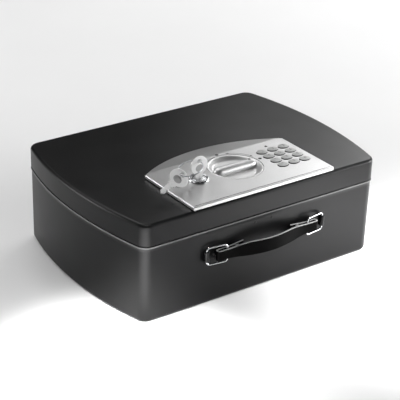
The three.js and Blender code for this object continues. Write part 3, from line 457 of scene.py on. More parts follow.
def tint(made, pattern, dark, light, low=0.35, high=0.65):
    """Colours a material from dark to light by a pattern."""
    nodes, links = made.node_tree.nodes, made.node_tree.links
    ramp = nodes.new("ShaderNodeValToRGB")
    ramp.color_ramp.elements[0].position = low
    ramp.color_ramp.elements[0].color = (*dark, 1)
    ramp.color_ramp.elements[1].position = high
    ramp.color_ramp.elements[1].color = (*light, 1)
    links.new(pattern, ramp.inputs["Fac"])
    links.new(ramp.outputs["Color"], nodes["Principled BSDF"].inputs["Base Color"])


def vary_roughness(made, pattern, low, high):
    nodes, links = made.node_tree.nodes, made.node_tree.links
    spread = nodes.new("ShaderNodeMapRange")
    spread.inputs["From Min"].default_value = 0.3
    spread.inputs["From Max"].default_value = 0.7
    spread.inputs["To Min"].default_value = low
    spread.inputs["To Max"].default_value = high
    links.new(pattern, spread.inputs["Value"])
    links.new(spread.outputs["Result"], nodes["Principled BSDF"].inputs["Roughness"])


def add_bump(made, pattern, height):
    """Raises the surface by up to height, in millimetres, on top of any bump it has."""
    nodes, links = made.node_tree.nodes, made.node_tree.links
    bump = nodes.new("ShaderNodeBump")
    bump.inputs["Distance"].default_value = height * MM
    normal = nodes["Principled BSDF"].inputs["Normal"]
    if normal.is_linked:
        links.new(normal.links[0].from_socket, bump.inputs["Normal"])
    links.new(pattern, bump.inputs["Height"])
    links.new(bump.outputs["Normal"], normal)


def grey(value):
    return (value, value, value)


def case_paint():
    """Satin black baked paint with a faint orange peel."""
    made = material("case_paint", grey(0.004), 0.33, Specular_IOR_Level=0.19)
    tint(made, add_noise(made, 9), grey(0.003), (0.005, 0.005, 0.0055))
    vary_roughness(made, add_noise(made, 30), 0.31, 0.35)
    add_bump(made, add_noise(made, 420, 2), 0.012)
    return made


def silver_finish(name, value, roughness, grain, metallic):
    """Silvery finish with a fine flake, for lacquered plastic and for the keys' satin nickel."""
    made = material(name, grey(value), roughness, metallic)
    flake = add_noise(made, 5200, 1)
    tint(made, flake, grey(value * 0.90), grey(min(1, value * 1.08)))
    vary_roughness(made, add_noise(made, 60), roughness - 0.03, roughness + 0.04)
    add_bump(made, flake, grain)
    return made


def painted_joint_shade():
    """Painted shade: dark colour for the faces inside the joint between housing and plate."""
    made = material("painted_joint_shade", grey(0.01), 0.6, Specular_IOR_Level=0.2)
    tint(made, add_noise(made, 80), grey(0.007), grey(0.014))
    return made


def bright_metal(name, color, roughness, scratch=0.004):
    """Plated metal with faint polishing marks."""
    made = material(name, color, roughness, 1.0)
    marks = add_noise(made, 260, 4, (1, 6, 1))
    dark = tuple(c * 0.9 for c in color)
    tint(made, add_noise(made, 120), dark, color)
    vary_roughness(made, marks, roughness * 0.7, roughness * 1.5)
    add_bump(made, marks, scratch)
    return made


def zinc_steel():
    """Zinc plated steel with its mottled crystals."""
    made = material("zinc_steel", grey(0.5), 0.36, 1.0)
    tint(made, add_cells(made, 260), (0.42, 0.43, 0.45), (0.60, 0.61, 0.63), 0.1, 0.8)
    vary_roughness(made, add_noise(made, 300), 0.28, 0.46)
    add_bump(made, add_noise(made, 900, 2), 0.006)
    return made


def dull_plastic(name, value, roughness, grain=0.03):
    """Moulded plastic with a spark-eroded grain."""
    made = material(name, grey(value), roughness)
    tint(made, add_noise(made, 40), grey(value * 0.85), grey(value * 1.15))
    vary_roughness(made, add_noise(made, 200), roughness - 0.05, roughness + 0.05)
    add_bump(made, add_cells(made, 2600), grain)
    return made


def strap_plastic():
    """Smooth flexible black strap, a little glossy."""
    made = material("strap_plastic", grey(0.0012), 0.3, Specular_IOR_Level=0.015)
    tint(made, add_noise(made, 25), grey(0.0015), grey(0.003))
    vary_roughness(made, add_noise(made, 60, 2, (0.4, 1, 2)), 0.28, 0.33)
    add_bump(made, add_noise(made, 350, 2, (0.5, 1, 1)), 0.004)
    return made


def painted_strap_highlight():
    """Painted highlight: lighter grey along the strap's top edge."""
    made = material("painted_strap_highlight", grey(0.34), 0.3, Specular_IOR_Level=0.4)
    tint(made, add_noise(made, 60), grey(0.28), grey(0.40))
    vary_roughness(made, add_noise(made, 40), 0.25, 0.35)
    return made


def painted_rim_highlight():
    """Painted highlight: lighter grey along the rolled rim of the base."""
    made = material("painted_rim_highlight", grey(0.09), 0.3, Specular_IOR_Level=0.3)
    tint(made, add_noise(made, 30), grey(0.07), grey(0.11))
    vary_roughness(made, add_noise(made, 40), 0.28, 0.35)
    return made


def button_rubber():
    made = material("button_rubber", (0.43, 0.435, 0.43), 0.5)
    tint(made, add_noise(made, 300), (0.40, 0.405, 0.40), (0.46, 0.465, 0.455))
    vary_roughness(made, add_noise(made, 500), 0.48, 0.62)
    add_bump(made, add_cells(made, 4200), 0.015)
    return made


def mat_felt():
    """Short black felt with loose fibres."""
    made = material("mat_felt", grey(0.02), 0.95, Sheen_Weight=0.6, Sheen_Roughness=0.5)
    fibres = add_noise(made, 1500, 5, (1, 2.2, 1))
    tint(made, fibres, grey(0.010), grey(0.035))
    add_bump(made, fibres, 0.25)
    return made


def circuit_board():
    made = material("circuit_board", (0.01, 0.10, 0.04), 0.4, Coat_Weight=0.4)
    tint(made, add_cells(made, 420), (0.008, 0.07, 0.03), (0.02, 0.16, 0.06), 0.2, 0.5)
    add_bump(made, add_cells(made, 420), 0.03)
    return made


def led_lens():
    made = material("led_lens", (0.012, 0.002, 0.002), 0.15, Coat_Weight=0.3)
    tint(made, add_noise(made, 900), (0.008, 0.002, 0.002), (0.018, 0.003, 0.003))
    return made


def coil_winding():
    """Enamelled copper wire, wound in close turns."""
    made = material("coil_winding", (0.45, 0.17, 0.06), 0.3, 0.9)
    nodes, links = made.node_tree.nodes, made.node_tree.links
    coordinates = nodes.new("ShaderNodeTexCoord")
    turns = nodes.new("ShaderNodeTexWave")
    turns.bands_direction = "X"
    turns.inputs["Scale"].default_value = 400
    links.new(coordinates.outputs["Object"], turns.inputs["Vector"])
    tint(made, turns.outputs["Fac"], (0.25, 0.08, 0.03), (0.60, 0.26, 0.10))
    add_bump(made, turns.outputs["Fac"], 0.2)
    return made


def battery_sleeve():
    """Plain coloured sleeve with a lighter band at one end."""
    made = material("battery_sleeve", (0.03, 0.06, 0.12), 0.3, Coat_Weight=0.5)
    nodes, links = made.node_tree.nodes, made.node_tree.links
    coordinates = nodes.new("ShaderNodeTexCoord")
    split = nodes.new("ShaderNodeSeparateXYZ")
    band = nodes.new("ShaderNodeMapRange")
    band.inputs["From Min"].default_value = 0.018
    band.inputs["From Max"].default_value = 0.019
    links.new(coordinates.outputs["Object"], split.inputs["Vector"])
    links.new(split.outputs["Y"], band.inputs["Value"])
    tint(made, band.outputs["Result"], (0.03, 0.06, 0.12), (0.45, 0.36, 0.16))
    add_bump(made, add_noise(made, 300), 0.01)
    return made


def print_ink():
    made = material("print_ink", grey(0.006), 0.6, Specular_IOR_Level=0.2)
    tint(made, add_noise(made, 2000), grey(0.004), grey(0.010))
    return made


def floor_paper():
    made = material("floor_paper", grey(0.9), 0.95, Specular_IOR_Level=0.1)
    tint(made, add_noise(made, 3), grey(0.89), grey(0.91))
    return made


# ---------------------------------------------------------------- case


def case_ring(grow, z, corner_steps=10, side_steps=44, front_steps=28):
    """Plan of the case at one height, grown outwards by the given distance."""
    corner = CORNER_RADIUS + grow
    right = []
    right += arc(CORNER_X, -CORNER_Y, corner, -math.pi / 2, -SIDE_SWEEP, corner_steps)[:-1]
    right += arc(SIDE_CENTRE, 0, SIDE_RADIUS + grow, -SIDE_SWEEP, SIDE_SWEEP, side_steps)[:-1]
    right += arc(CORNER_X, CORNER_Y, corner, SIDE_SWEEP, math.pi / 2, corner_steps)
    straight = [1 - 2 * i / front_steps for i in range(1, front_steps)]
    rear = [(CORNER_X * t, HALF_DEPTH + grow) for t in straight]
    half = right + rear
    return [(x, y, z) for x, y in half + [(-x, -y) for x, y in half]]


def edge_profile(grow, z, radius, start, end, steps=6):
    """(grow, z) pairs round a rounded edge whose centre is at grow, z; angles are in degrees."""
    return arc(grow, z, radius, math.radians(start), math.radians(end), steps)


def build_base(paint):
    inner_edge = BASE_EDGE - BASE_WALL
    profile = [(-BASE_EDGE - 6, 0), (-BASE_EDGE - 2, 0)]
    profile += edge_profile(-BASE_EDGE, BASE_EDGE, BASE_EDGE, -90, 0)
    profile += [(0, 12), (0, 78), (0.1, 80), (RIM_FLARE * 0.7, 82)]
    profile += edge_profile(RIM_FLARE - RIM_EDGE, RIM_Z - RIM_EDGE, RIM_EDGE, 0, 90)
    profile += [(-BASE_WALL, RIM_Z), (-BASE_WALL, LIP_TOP - 0.7)]
    profile += edge_profile(-LIP_INSET + 0.7, LIP_TOP - 0.7, 0.7, 0, 180)
    profile += [(-LIP_INSET, LIP_FOOT + 1.4), (-BASE_WALL, LIP_FOOT), (-BASE_WALL, 12)]
    profile += edge_profile(-BASE_EDGE, BASE_EDGE, inner_edge, 0, -90)
    profile += [(-BASE_EDGE - 2, BASE_WALL), (-BASE_EDGE - 6, BASE_WALL)]
    base = loft("case_base", [case_ring(grow, z) for grow, z in profile])
    # The faces round the rim's rounded edge take a lighter grey: a painted highlight along the seam.
    rim_low, rim_high = RIM_Z - 1.6, RIM_Z - 0.25
    two_tone(base, paint, painted_rim_highlight(), lambda middle, normal: rim_low < middle.z < rim_high)
    settle(base, paint, "base", ["base_shell"])


def build_lid(paint):
    outer = LID_PROUD
    inner = LID_PROUD - LID_WALL
    fold = 2
    profile = [(inner - fold - 6, LID_UNDERSIDE), (inner - fold - 2, LID_UNDERSIDE)]
    profile += edge_profile(inner - fold, LID_UNDERSIDE - fold, fold, 90, 0)
    profile += [(inner, 96), (inner, LID_BOTTOM + 0.3)]
    profile += [(inner + 0.3, LID_BOTTOM), (outer - 0.4, LID_BOTTOM)]
    profile += [(outer - 0.1, LID_BOTTOM + 0.12), (outer, LID_BOTTOM + 0.4)]
    profile += [(outer, 88), (outer, LID_TOP - 6)]
    profile += edge_profile(outer - LID_EDGE, LID_TOP - LID_EDGE, LID_EDGE, 0, 90, 8)
    profile += [(outer - LID_EDGE - 2, LID_TOP), (outer - LID_EDGE - 6, LID_TOP)]
    lid = loft("case_lid", [case_ring(grow, z) for grow, z in profile])
    low, high = LID_UNDERSIDE - 2, LID_TOP + 2
    board_low, board_high = box_mm("keypad_board")
    play = 0.8
    board = rectangle(board_low.x - play, board_high.x + play, board_low.y - play, board_high.y + play)
    openings = [
        plate("knob_opening", [circle(KNOB, KNOB_RADIUS + 2.5, 64)], low, high),
        plate("lock_opening", [circle(LOCK, BARREL_RADIUS + 0.5)], low, high),
        plate("board_opening", [board], low, high),
    ]
    carve(lid, *openings)
    settle(lid, paint, "lid", ["lid_shell"])


def build_mat(felt):
    """Felt sheet with a soft edge and a slightly uneven nap."""
    low, high = box_mm("floor_mat")
    edge, chamfer = 0.8, 0.4
    side = -5.0
    middle = -12
    profile = [(middle, low.z), (side - chamfer, low.z), (side, low.z + chamfer), (side, high.z - edge)]
    profile += edge_profile(side - edge, high.z - edge, edge, 0, 90, 3)
    profile += [(middle + 2, high.z), (middle, high.z)]
    rings = []
    for grow, z in profile:
        ring = case_ring(grow, z)
        wave = 0.25 if z > low.z + 0.2 else 0
        rings.append([(x + wave * math.sin(y * 0.61), y + wave * math.sin(x * 0.53), z) for x, y, z in ring])
    settle(loft("felt_mat", rings), felt, "base", ["floor_mat"])


# ---------------------------------------------------------------- control panel


def panel_outline():
    corner = 1.2
    rise = PANEL_REAR - PANEL_SIDE_END
    radius = (PANEL_HALF**2 + rise**2) / (2 * rise)
    sweep = math.asin(PANEL_HALF / radius)
    quarter = math.pi / 2
    outline = arc(-PANEL_HALF + corner, FRONT + corner, corner, 2 * quarter, 3 * quarter, 4)
    outline += arc(PANEL_HALF - corner, FRONT + corner, corner, -quarter, 0, 4)
    outline += arc(0, PANEL_REAR - radius, radius, quarter - sweep, quarter + sweep, 72)
    return outline


def button_centres():
    """Middle of each button in plan, in the order of the nodes."""
    boxes = [box_mm(node) for node in BUTTON_NODES]
    return [(low + high) / 2 for low, high in boxes]


def build_panel(silver):
    """Raised housing whose top falls away behind the crease."""
    panel = plate("panel_housing", [panel_outline()], PANEL_LOW.z, PANEL_TOP, 1.0, 4)
    mesh = bmesh.new()
    mesh.from_mesh(panel.data)
    rows = [CREASE_Y - 0.7, CREASE_Y, CREASE_Y + 0.7, CREASE_Y + 3, -16, -10, -4]
    for row in rows:
        everything = list(mesh.verts) + list(mesh.edges) + list(mesh.faces)
        bmesh.ops.bisect_plane(mesh, geom=everything, plane_co=(0, row * MM, 0), plane_no=(0, 1, 0))
    slope = CREASE_DROP / (PANEL_REAR - CREASE_Y)
    for vertex in mesh.verts:
        behind = vertex.co.y / MM - CREASE_Y
        if behind > 0 and vertex.co.z / MM > PANEL_TOP - 1.2:
            vertex.co.z -= behind * slope * MM
    mesh.to_mesh(panel.data)
    mesh.free()
    gap, front_gap = 0.04, 0.8
    seat = rectangle(PLATE_LOW.x - gap, PLATE_HIGH.x + gap, PLATE_LOW.y - front_gap, PLATE_HIGH.y + gap)
    pocket = plate("pocket", [seat], PLATE_LOW.z - 0.3, PANEL_TOP + 3)
    board_low, board_high = box_mm("keypad_board")
    keypad = rectangle(board_low.x, board_high.x, board_low.y + 1, board_high.y)
    low, high = PANEL_LOW.z - 1, PANEL_TOP + 2
    knob_hole = plate("knob_hole", [circle(KNOB, KNOB_RADIUS + HOLE_PLAY, 96)], low, high)
    lock_hole = plate("lock_hole", [circle(LOCK, BARREL_RADIUS + HOLE_PLAY, 48)], low, high)
    keypad_hole = plate("keypad_hole", [keypad], low, high)
    carve(panel, pocket, knob_hole, lock_hole, keypad_hole)
    paint_joint_shade(panel, silver)
    settle(panel, silver, "lid", ["panel_bezel"], sharp=28)


def paint_joint_shade(piece, silver):
    """Gives the faces inside the joint between housing and plate a dark colour: painted shade of the gap."""
    def in_joint(middle, normal):
        along = abs(middle.x) < PLATE_HIGH.x + 0.1
        across = PLATE_LOW.y - 0.9 < middle.y < PLATE_LOW.y + 0.01
        return along and across and PLATE_LOW.z - 0.5 < middle.z < PANEL_TOP - 0.04

    two_tone(piece, silver, painted_joint_shade(), in_joint)


def build_faceplate(silver):
    """Thin plate let into the housing, with eased holes for the controls."""
    led_low, led_high = box_mm("status_led")
    led = (led_low + led_high) / 2
    outlines = [
        rectangle(PLATE_LOW.x, PLATE_HIGH.x, PLATE_LOW.y, PLATE_HIGH.y),
        circle(KNOB, KNOB_RADIUS + HOLE_PLAY + 0.05, 96),
        circle(LOCK, BARREL_RADIUS + HOLE_PLAY, 48),
        circle(led, LED_RADIUS + HOLE_PLAY, 20),
    ]
    half_width, half_depth = BUTTON_HALF_WIDTH + HOLE_PLAY, BUTTON_HALF_DEPTH + HOLE_PLAY
    outlines += [ellipse(c.x, c.y, half_width, half_depth) for c in button_centres()]
    plate_piece = plate("face_plate", outlines, PLATE_LOW.z, PLATE_HIGH.z, 0.06, 1)
    paint_joint_shade(plate_piece, silver)
    settle(plate_piece, silver, "lid", ["faceplate"], sharp=28)


def build_panel_marks(ink):
    """Printed dots for the two ends of the knob's turn, and a thin arc with an arrow at each end."""
    z0, z1 = PANEL_TOP - 0.02, PANEL_TOP + 0.05
    marks = [plate("mark", [dot_outline(turn, radius)], z0, z1) for turn, radius in ((3, 33.8), (89, 32.6))]
    radius, half = 32.4, 0.3
    start, end = math.radians(24), math.radians(66)
    band = arc(KNOB.x, KNOB.y, radius + half, start, end, 24)
    band += arc(KNOB.x, KNOB.y, radius - half, end, start, 24)
    marks.append(plate("mark", [band], z0, z1))
    for turn, way in ((start, -1), (end, 1)):
        tip = turn + way * 0.1
        points = [(radius, tip), (radius + 1.3, turn), (radius - 1.3, turn)]
        head = [(KNOB.x + r * math.cos(t), KNOB.y + r * math.sin(t)) for r, t in points]
        marks.append(plate("mark", [head], z0, z1))
    settle(merge("panel_print", *marks), ink, "lid")


def dot_outline(turn, radius):
    t = math.radians(turn)
    return circle(KNOB + Vector((math.cos(t), math.sin(t), 0)) * radius, DOT_RADIUS, 24)


def build_status_led(lens):
    low, high = box_mm("status_led")
    middle = (low + high) / 2
    dome = [(0, low.z), (LED_RADIUS, low.z), (LED_RADIUS, high.z - 0.8)]
    dome += arc(0, high.z - 0.8, LED_RADIUS, 0.1, math.pi / 2, 6)[1:-1]
    profile = [(r, min(z, high.z)) for r, z in dome] + [(0, high.z)]
    led = spin("status_lens", profile, 24)
    place(led, Matrix.Translation((middle.x, middle.y, 0)))
    settle(led, lens, "lid", ["status_led"])


def button_dome(share):
    """Height of a button's top under its crown, at a share of the way to its edge."""
    return 0.55 * share**2 + 0.35 * share**8


def build_buttons(rubber, wall_shade, ink):
    for node, sign, centre in zip(BUTTON_NODES, BUTTON_SIGNS, button_centres()):
        body = node.replace("keypad_", "")
        low, high = box_mm(node)
        shares = [1, 0.985, 0.95, 0.88, 0.78, 0.62, 0.42, 0.2, 0]
        profile = [(0, low.z), (1, low.z), (1, high.z - 1.35), (1, high.z - 1.15)]
        profile += [(share, high.z - button_dome(share)) for share in shares]
        cap = spin(node.replace("keypad", "rubber"), profile, 48, (BUTTON_HALF_WIDTH, BUTTON_HALF_DEPTH))
        place(cap, Matrix.Translation((centre.x, centre.y, 0)))
        # The lower wall of each button takes a dark plastic: painted shade of the gap round the button.
        wall_shade_top = high.z - 1.2
        two_tone(cap, rubber, wall_shade, lambda middle, normal: middle.z < wall_shade_top)
        settle(cap, rubber, body, [node])
        build_sign(sign, centre, high.z, ink, body, node)


def build_sign(sign, centre, crown, ink, body, node):
    """A printed figure that follows the button's domed top."""
    text = bpy.data.curves.new("sign", "FONT")
    text.body = sign
    text.size = 5.2 * MM
    text.align_x = "CENTER"
    text.align_y = "CENTER"
    text.extrude = 0.03 * MM
    source = add_object("sign", text)
    mesh = finished_mesh(source)
    bpy.data.objects.remove(source)
    for vertex in mesh.vertices:
        x, y = vertex.co.x / MM, vertex.co.y / MM
        share = math.hypot(x / BUTTON_HALF_WIDTH, y / BUTTON_HALF_DEPTH)
        vertex.co.z += (crown - button_dome(share)) * MM
        vertex.co.x += centre.x * MM
        vertex.co.y += centre.y * MM
    settle(add_object(node.replace("keypad_button", "button_figure"), mesh), ink, body)


# ---------------------------------------------------------------- latch knob


def knob_bar():
    """Finger bar: straight, round on top, with blunt rounded ends."""
    base_z = KNOB_LOW.z + 1
    stations = 48
    cap_start = 1 - BAR_HALF_WIDTH / BAR_HALF_LENGTH
    rings = []
    for i in range(stations + 1):
        t = -math.cos(math.pi * i / stations)
        past = max(0.0, (abs(t) - cap_start) / (1 - cap_start))
        share = math.sqrt(max(0.0, 1 - past * past))
        half = max(0.25, BAR_HALF_WIDTH * share)
        top = KNOB_FLOOR + (BAR_TOP - KNOB_FLOOR) * (0.35 + 0.65 * share)
        x = KNOB.x + t * BAR_HALF_LENGTH
        rings.append([(x, KNOB.y + y, z) for y, z in bar_section(half, base_z, top)])
    return loft("finger_bar", rings)


def bar_section(half, base_z, top):
    """Section of the finger bar, from its front foot over the top to its rear foot."""
    count = 18
    section = []
    for k in range(count + 1):
        turn = math.pi * k / count
        y = half * math.copysign(abs(math.cos(turn)) ** 0.85, math.cos(turn))
        section.append((y, KNOB_FLOOR + (top - KNOB_FLOOR) * max(0.0, math.sin(turn)) ** 0.8))
    return [(half * 1.01, base_z)] + section + [(-half * 1.01, base_z)]


def build_knob(silver, ink):
    rim = PANEL_TOP - 0.1
    bottom = KNOB_LOW.z
    flange = KNOB_HIGH.x - KNOB.x
    profile = [(0, bottom), (flange, bottom), (flange, bottom + 1.7), (KNOB_RADIUS, bottom + 1.7)]
    profile += [(KNOB_RADIUS, rim - 0.5), (KNOB_RADIUS - 0.15, rim - 0.15), (KNOB_RADIUS - 0.5, rim)]
    profile += [(KNOB_RADIUS - 1.3, rim - 0.05)]
    bowl_width = 6.2
    bowl_steps = 14
    for i in range(1, bowl_steps + 1):
        t = i / bowl_steps
        drop = (rim - KNOB_FLOOR) * smooth_step(t)
        profile.append((KNOB_RADIUS - 1.3 - bowl_width * t, rim - 0.05 - drop))
    profile += [(12, KNOB_FLOOR), (0, KNOB_FLOOR)]
    dish = spin("knob_dish", profile, 96)
    place(dish, Matrix.Translation(KNOB))
    carve(dish, knob_bar(), operation="UNION")
    hub = spin("hub", [(0, 101.6), (9, 101.6), (9, bottom + 0.5), (0, bottom + 0.5)], 48)
    place(hub, Matrix.Translation(KNOB))
    carve(dish, hub, operation="UNION")
    dish.name = "latch_dial"
    settle(dish, silver, "knob", ["latch_knob"], sharp=50)
    build_bar_dot(ink)


def build_bar_dot(ink):
    """Printed dot near the right end of the finger bar, laid over its crown."""
    middle = KNOB + Vector((BAR_HALF_LENGTH - 7.5, 0.6, 0))
    dot = plate("bar_dot", [circle(middle, 1.6, 24)], BAR_TOP - 2.2, BAR_TOP + 0.05)
    settle(dot, ink, "knob")


# ---------------------------------------------------------------- lock and keys


def build_lock(chrome):
    foot = box_mm("lock_barrel")[0].z
    seat = PANEL_TOP + 0.1
    bore = PLUG_RADIUS + 0.15
    profile = [(bore, foot), (BARREL_RADIUS, foot), (BARREL_RADIUS, seat), (10.9, seat)]
    profile += [(11.0, seat + 0.25), (10.95, seat + 0.8)]
    profile += arc(9.6, seat + 0.6, 1.3, 0.2, math.pi * 0.8, 8)
    profile += [(7.9, LOCK_FACE - 0.35), (7.3, LOCK_FACE - 0.3)]
    profile += [(bore + 0.2, LOCK_FACE - 0.3), (bore, LOCK_FACE - 0.5)]
    barrel = spin_tube("barrel_ring", profile, 64)
    place(barrel, Matrix.Translation(LOCK))
    settle(barrel, chrome, "lid", ["lock_barrel"])

    plug_foot = box_mm("lock_plug")[0].z
    edge = 0.5
    plug = spin("lock_core", [
        (0, plug_foot), (PLUG_RADIUS - edge, plug_foot), (PLUG_RADIUS, plug_foot + edge),
        (PLUG_RADIUS, LOCK_FACE - edge), (PLUG_RADIUS - 0.15, LOCK_FACE - 0.15),
        (PLUG_RADIUS - edge, LOCK_FACE), (4, LOCK_FACE), (0, LOCK_FACE),
    ], 64)
    keyway = plate("keyway", [rectangle(-4.2, 4.2, -1.25, 1.25, 0.4)], LOCK_FACE - 14, LOCK_FACE + 1)
    carve(plug, keyway)
    place(plug, Matrix.Translation(LOCK))
    settle(plug, chrome, "plug", ["lock_plug"])


def spin_tube(name, profile, sides):
    """A turned ring whose profile closes on itself."""
    turns = [2 * math.pi * i / sides for i in range(sides)]
    rings = [[(r * math.cos(t), r * math.sin(t), z) for t in turns] for r, z in profile]
    return loft(name, rings + [rings[0]], caps=False)


def key_outline():
    shoulder, blade = 4.2, 3.1
    neck_angle = math.asin(shoulder / KEY_BOW_RADIUS)
    neck = -math.sqrt(KEY_BOW_RADIUS**2 - shoulder**2)
    blade_top = neck - 3
    quarter = math.pi / 2
    outline = arc(0, 0, KEY_BOW_RADIUS, -quarter + neck_angle, 3 * quarter - neck_angle, 56)
    outline += [(-shoulder, blade_top + 0.5), (-shoulder + 0.5, blade_top), (-blade, blade_top)]
    outline += [(-blade, -KEY_REACH + 2.5), (-0.4, -KEY_REACH), (0.4, -KEY_REACH)]
    tooth_start = -KEY_REACH + 2.5
    cuts = [1, 2.1, 0.9, 1.7]
    pitch = (blade_top - tooth_start - 1.5) / len(cuts)
    outline.append((blade - 0.6, tooth_start))
    for i, depth in enumerate(cuts):
        low = tooth_start + 0.6 + i * pitch
        outline += [(blade - depth, low + 0.5), (blade - depth, low + 1.1), (blade, low + 1.8)]
    outline += [(blade, blade_top), (shoulder - 0.5, blade_top), (shoulder, blade_top + 0.5)]
    return outline


def build_key(name, nickel, recess):
    """Round bow with a hole and a shallow pressed disc, and a grooved, toothed blade."""
    hole = ellipse(0, KEY_HOLE_OFFSET, KEY_HOLE_RADIUS, KEY_HOLE_RADIUS, 32)
    half = KEY_THICKNESS / 2
    key = plate(name, [key_outline(), hole], -half, half, 0.35, 2)
    tools = []
    for side in (-1, 1):
        z0, z1 = sorted((side * (half - 0.35), side * (half + 1)))
        tools.append(plate("groove", [rectangle(-0.9, 0.7, -KEY_REACH - 1, -KEY_BOW_RADIUS - 1.4)], z0, z1))
        z0, z1 = sorted((side * (half - 0.3), side * (half + 1)))
        disc = ellipse(0, KEY_DISC_Y, KEY_DISC_HALF_WIDTH, KEY_DISC_HALF_HEIGHT)
        tools.append(plate("disc", [disc], z0, z1))
    carve(key, *tools)

    # Faces of the pressed disc take the darker finish: painted shade of the recess.
    def in_disc(middle, normal):
        across = middle.x / (KEY_DISC_HALF_WIDTH + 0.1)
        along = (middle.y - KEY_DISC_Y) / (KEY_DISC_HALF_HEIGHT + 0.1)
        return math.hypot(across, along) < 1 and abs(middle.z) < half - 0.05

    two_tone(key, nickel, recess, in_disc)
    return key


def build_keys(nickel):
    # Darker, duller finish for the keys' pressed discs: painted shade of the shallow recess.
    recess = silver_finish("key_disc_shade", 0.40, 0.5, 0.004, 0.3)
    key = build_key("key_in_lock", nickel, recess)
    place(key, Matrix.Translation(KEY_BOW_CENTRE) @ Matrix.Rotation(math.pi / 2, 4, "X"))
    settle(key, nickel, "key", ["inserted_key"], sharp=30)
    along = (SPARE_BOW_CENTRE - SPARE_TIP).normalized()
    face = (SPARE_FACING - along * SPARE_FACING.dot(along)).normalized()
    across = along.cross(face)
    pose = Matrix((across, along, face)).transposed().to_4x4()
    pose.translation = SPARE_BOW_CENTRE
    spare = place(build_key("key_on_ring", nickel, recess), pose)
    settle(spare, nickel, "spare", ["spare_key"], sharp=30)


def build_key_ring(steel):
    """Split ring: two close turns of flattened wire through both bows."""
    first = KEY_BOW_CENTRE + AXIS_Z * KEY_HOLE_OFFSET
    second = SPARE_BOW_CENTRE + (SPARE_BOW_CENTRE - SPARE_TIP).normalized() * KEY_HOLE_OFFSET
    across = (first - second).normalized()
    radius = (first - second).length / 2
    depth = (AXIS_Y - across * across.y).normalized()
    normal = across.cross(depth)
    middle = (first + second) / 2
    steps, turns, rise = 144, 1.95, 0.62
    path = []
    for i in range(steps + 1):
        share = i / steps
        t = 2 * math.pi * turns * share + 0.9
        lift = rise * (smooth_step((share - 0.42) / 0.16) - 0.5)
        path.append(middle + (across * math.cos(t) + depth * math.sin(t)) * radius + normal * lift)
    settle(tube("split_ring", path, 0.42, 10), steel, "ring", ["key_ring"])


# ---------------------------------------------------------------- handle


def grip_standoff(x):
    """Distance of the strap's outer face from the front wall."""
    arch = (1 + math.cos(math.pi * x / GRIP_ARCH_HALF)) / 2 if abs(x) < GRIP_ARCH_HALF else 0
    return GRIP_STANDOFF + GRIP_ARCH * arch


def grip_path():
    """Middle line of the strap in plan, from one folded end round to the other, as (x, standoff)."""
    back = FOLD_STANDOFF + FOLD_HALF_THICKNESS
    fold = (GRIP_STANDOFF - GRIP_THICKNESS / 2 - back) / 2
    fold_x = GRIP_TIP - GRIP_THICKNESS / 2 - fold
    right = [(FOLD_END + (fold_x - FOLD_END) * i / 10, back) for i in range(10)]
    right += arc(fold_x, back + fold, fold, -math.pi / 2, math.pi / 2, 12)
    front = []
    for i in range(1, 64):
        x = fold_x - 2 * fold_x * i / 64
        front.append((x, grip_standoff(x) - GRIP_THICKNESS / 2))
    left = [(-x, y) for x, y in reversed(right)]
    return right + front + left


def grip_half_height(x):
    full = (GRIP_HIGH.z - GRIP_LOW.z) / 2
    return full - 2.3 * smooth_step((abs(x) - 24) / 28)


def build_grip(plastic):
    """Flexible strap bowed away from the wall and folded back at both ends."""
    path = grip_path()
    rings = []
    for i, (x, out) in enumerate(path):
        x0, out0 = path[max(0, i - 1)]
        x1, out1 = path[min(len(path) - 1, i + 1)]
        along = Vector((x1 - x0, out1 - out0)).normalized()
        normal = Vector((-along.y, along.x))
        half = grip_half_height(x)
        thick = GRIP_THICKNESS / 2 if out > FOLD_STANDOFF + 1.2 else FOLD_HALF_THICKNESS
        section = rectangle(-thick, thick, -half, half, 0.75 * thick, 4)
        rings.append([(x + normal.x * n, FRONT - out - normal.y * n, GRIP_MIDDLE_Z + z) for n, z in section])
    strap = loft("strap", rings)
    webs = [build_web(side) for side in (-1, 1)]
    whole = merge("carry_strap", strap, *webs)
    # Upward-facing faces along the strap's top edge take a lighter grey: a painted highlight.
    two_tone(whole, plastic, painted_strap_highlight(),
             lambda middle, normal: abs(normal.z) > 0.3 and middle.z > GRIP_MIDDLE_Z)
    settle(whole, plastic, "grip", ["handle_grip"], sharp=60)


def build_web(side):
    """Moulded bridge that joins the folded end to the front of the strap."""
    x0, x1 = sorted((side * (FOLD_END + 6), side * (FOLD_END + 10.5)))
    half = grip_half_height(x0) - 1.2
    top = max(grip_standoff(x0), grip_standoff(x1)) - GRIP_THICKNESS + 0.4
    web = plate("web", [rectangle(x0, x1, -half, half, 1.2)], FOLD_STANDOFF + 1.2, top, 0.3, 1)
    turn = Matrix.Translation((0, FRONT, GRIP_MIDDLE_Z)) @ Matrix.Rotation(math.pi / 2, 4, "X")
    return place(web, turn)


def loop_path(side):
    """Rounded rectangle of wire, from above: the outer leg is at the bracket, the inner leg in the strap."""
    bend = 3.2
    outline = rectangle(-LOOP_REACH, 0, -LOOP_HALF_HEIGHT, LOOP_HALF_HEIGHT, bend, 8)
    points = []
    for along, z in outline:
        x = LOOP_X + along * math.cos(LOOP_ANGLE)
        y = FRONT - LOOP_STANDOFF + along * math.sin(LOOP_ANGLE)
        points.append((side * x, y, HANDLE_Z + z))
    return points


def build_loops(chrome):
    for side, name in ((-1, "left"), (1, "right")):
        loop = tube(f"wire_loop_{name}", loop_path(side), WIRE_RADIUS, 16, closed=True)
        settle(loop, chrome, f"loop_{name}", [f"handle_loop_{name}"])


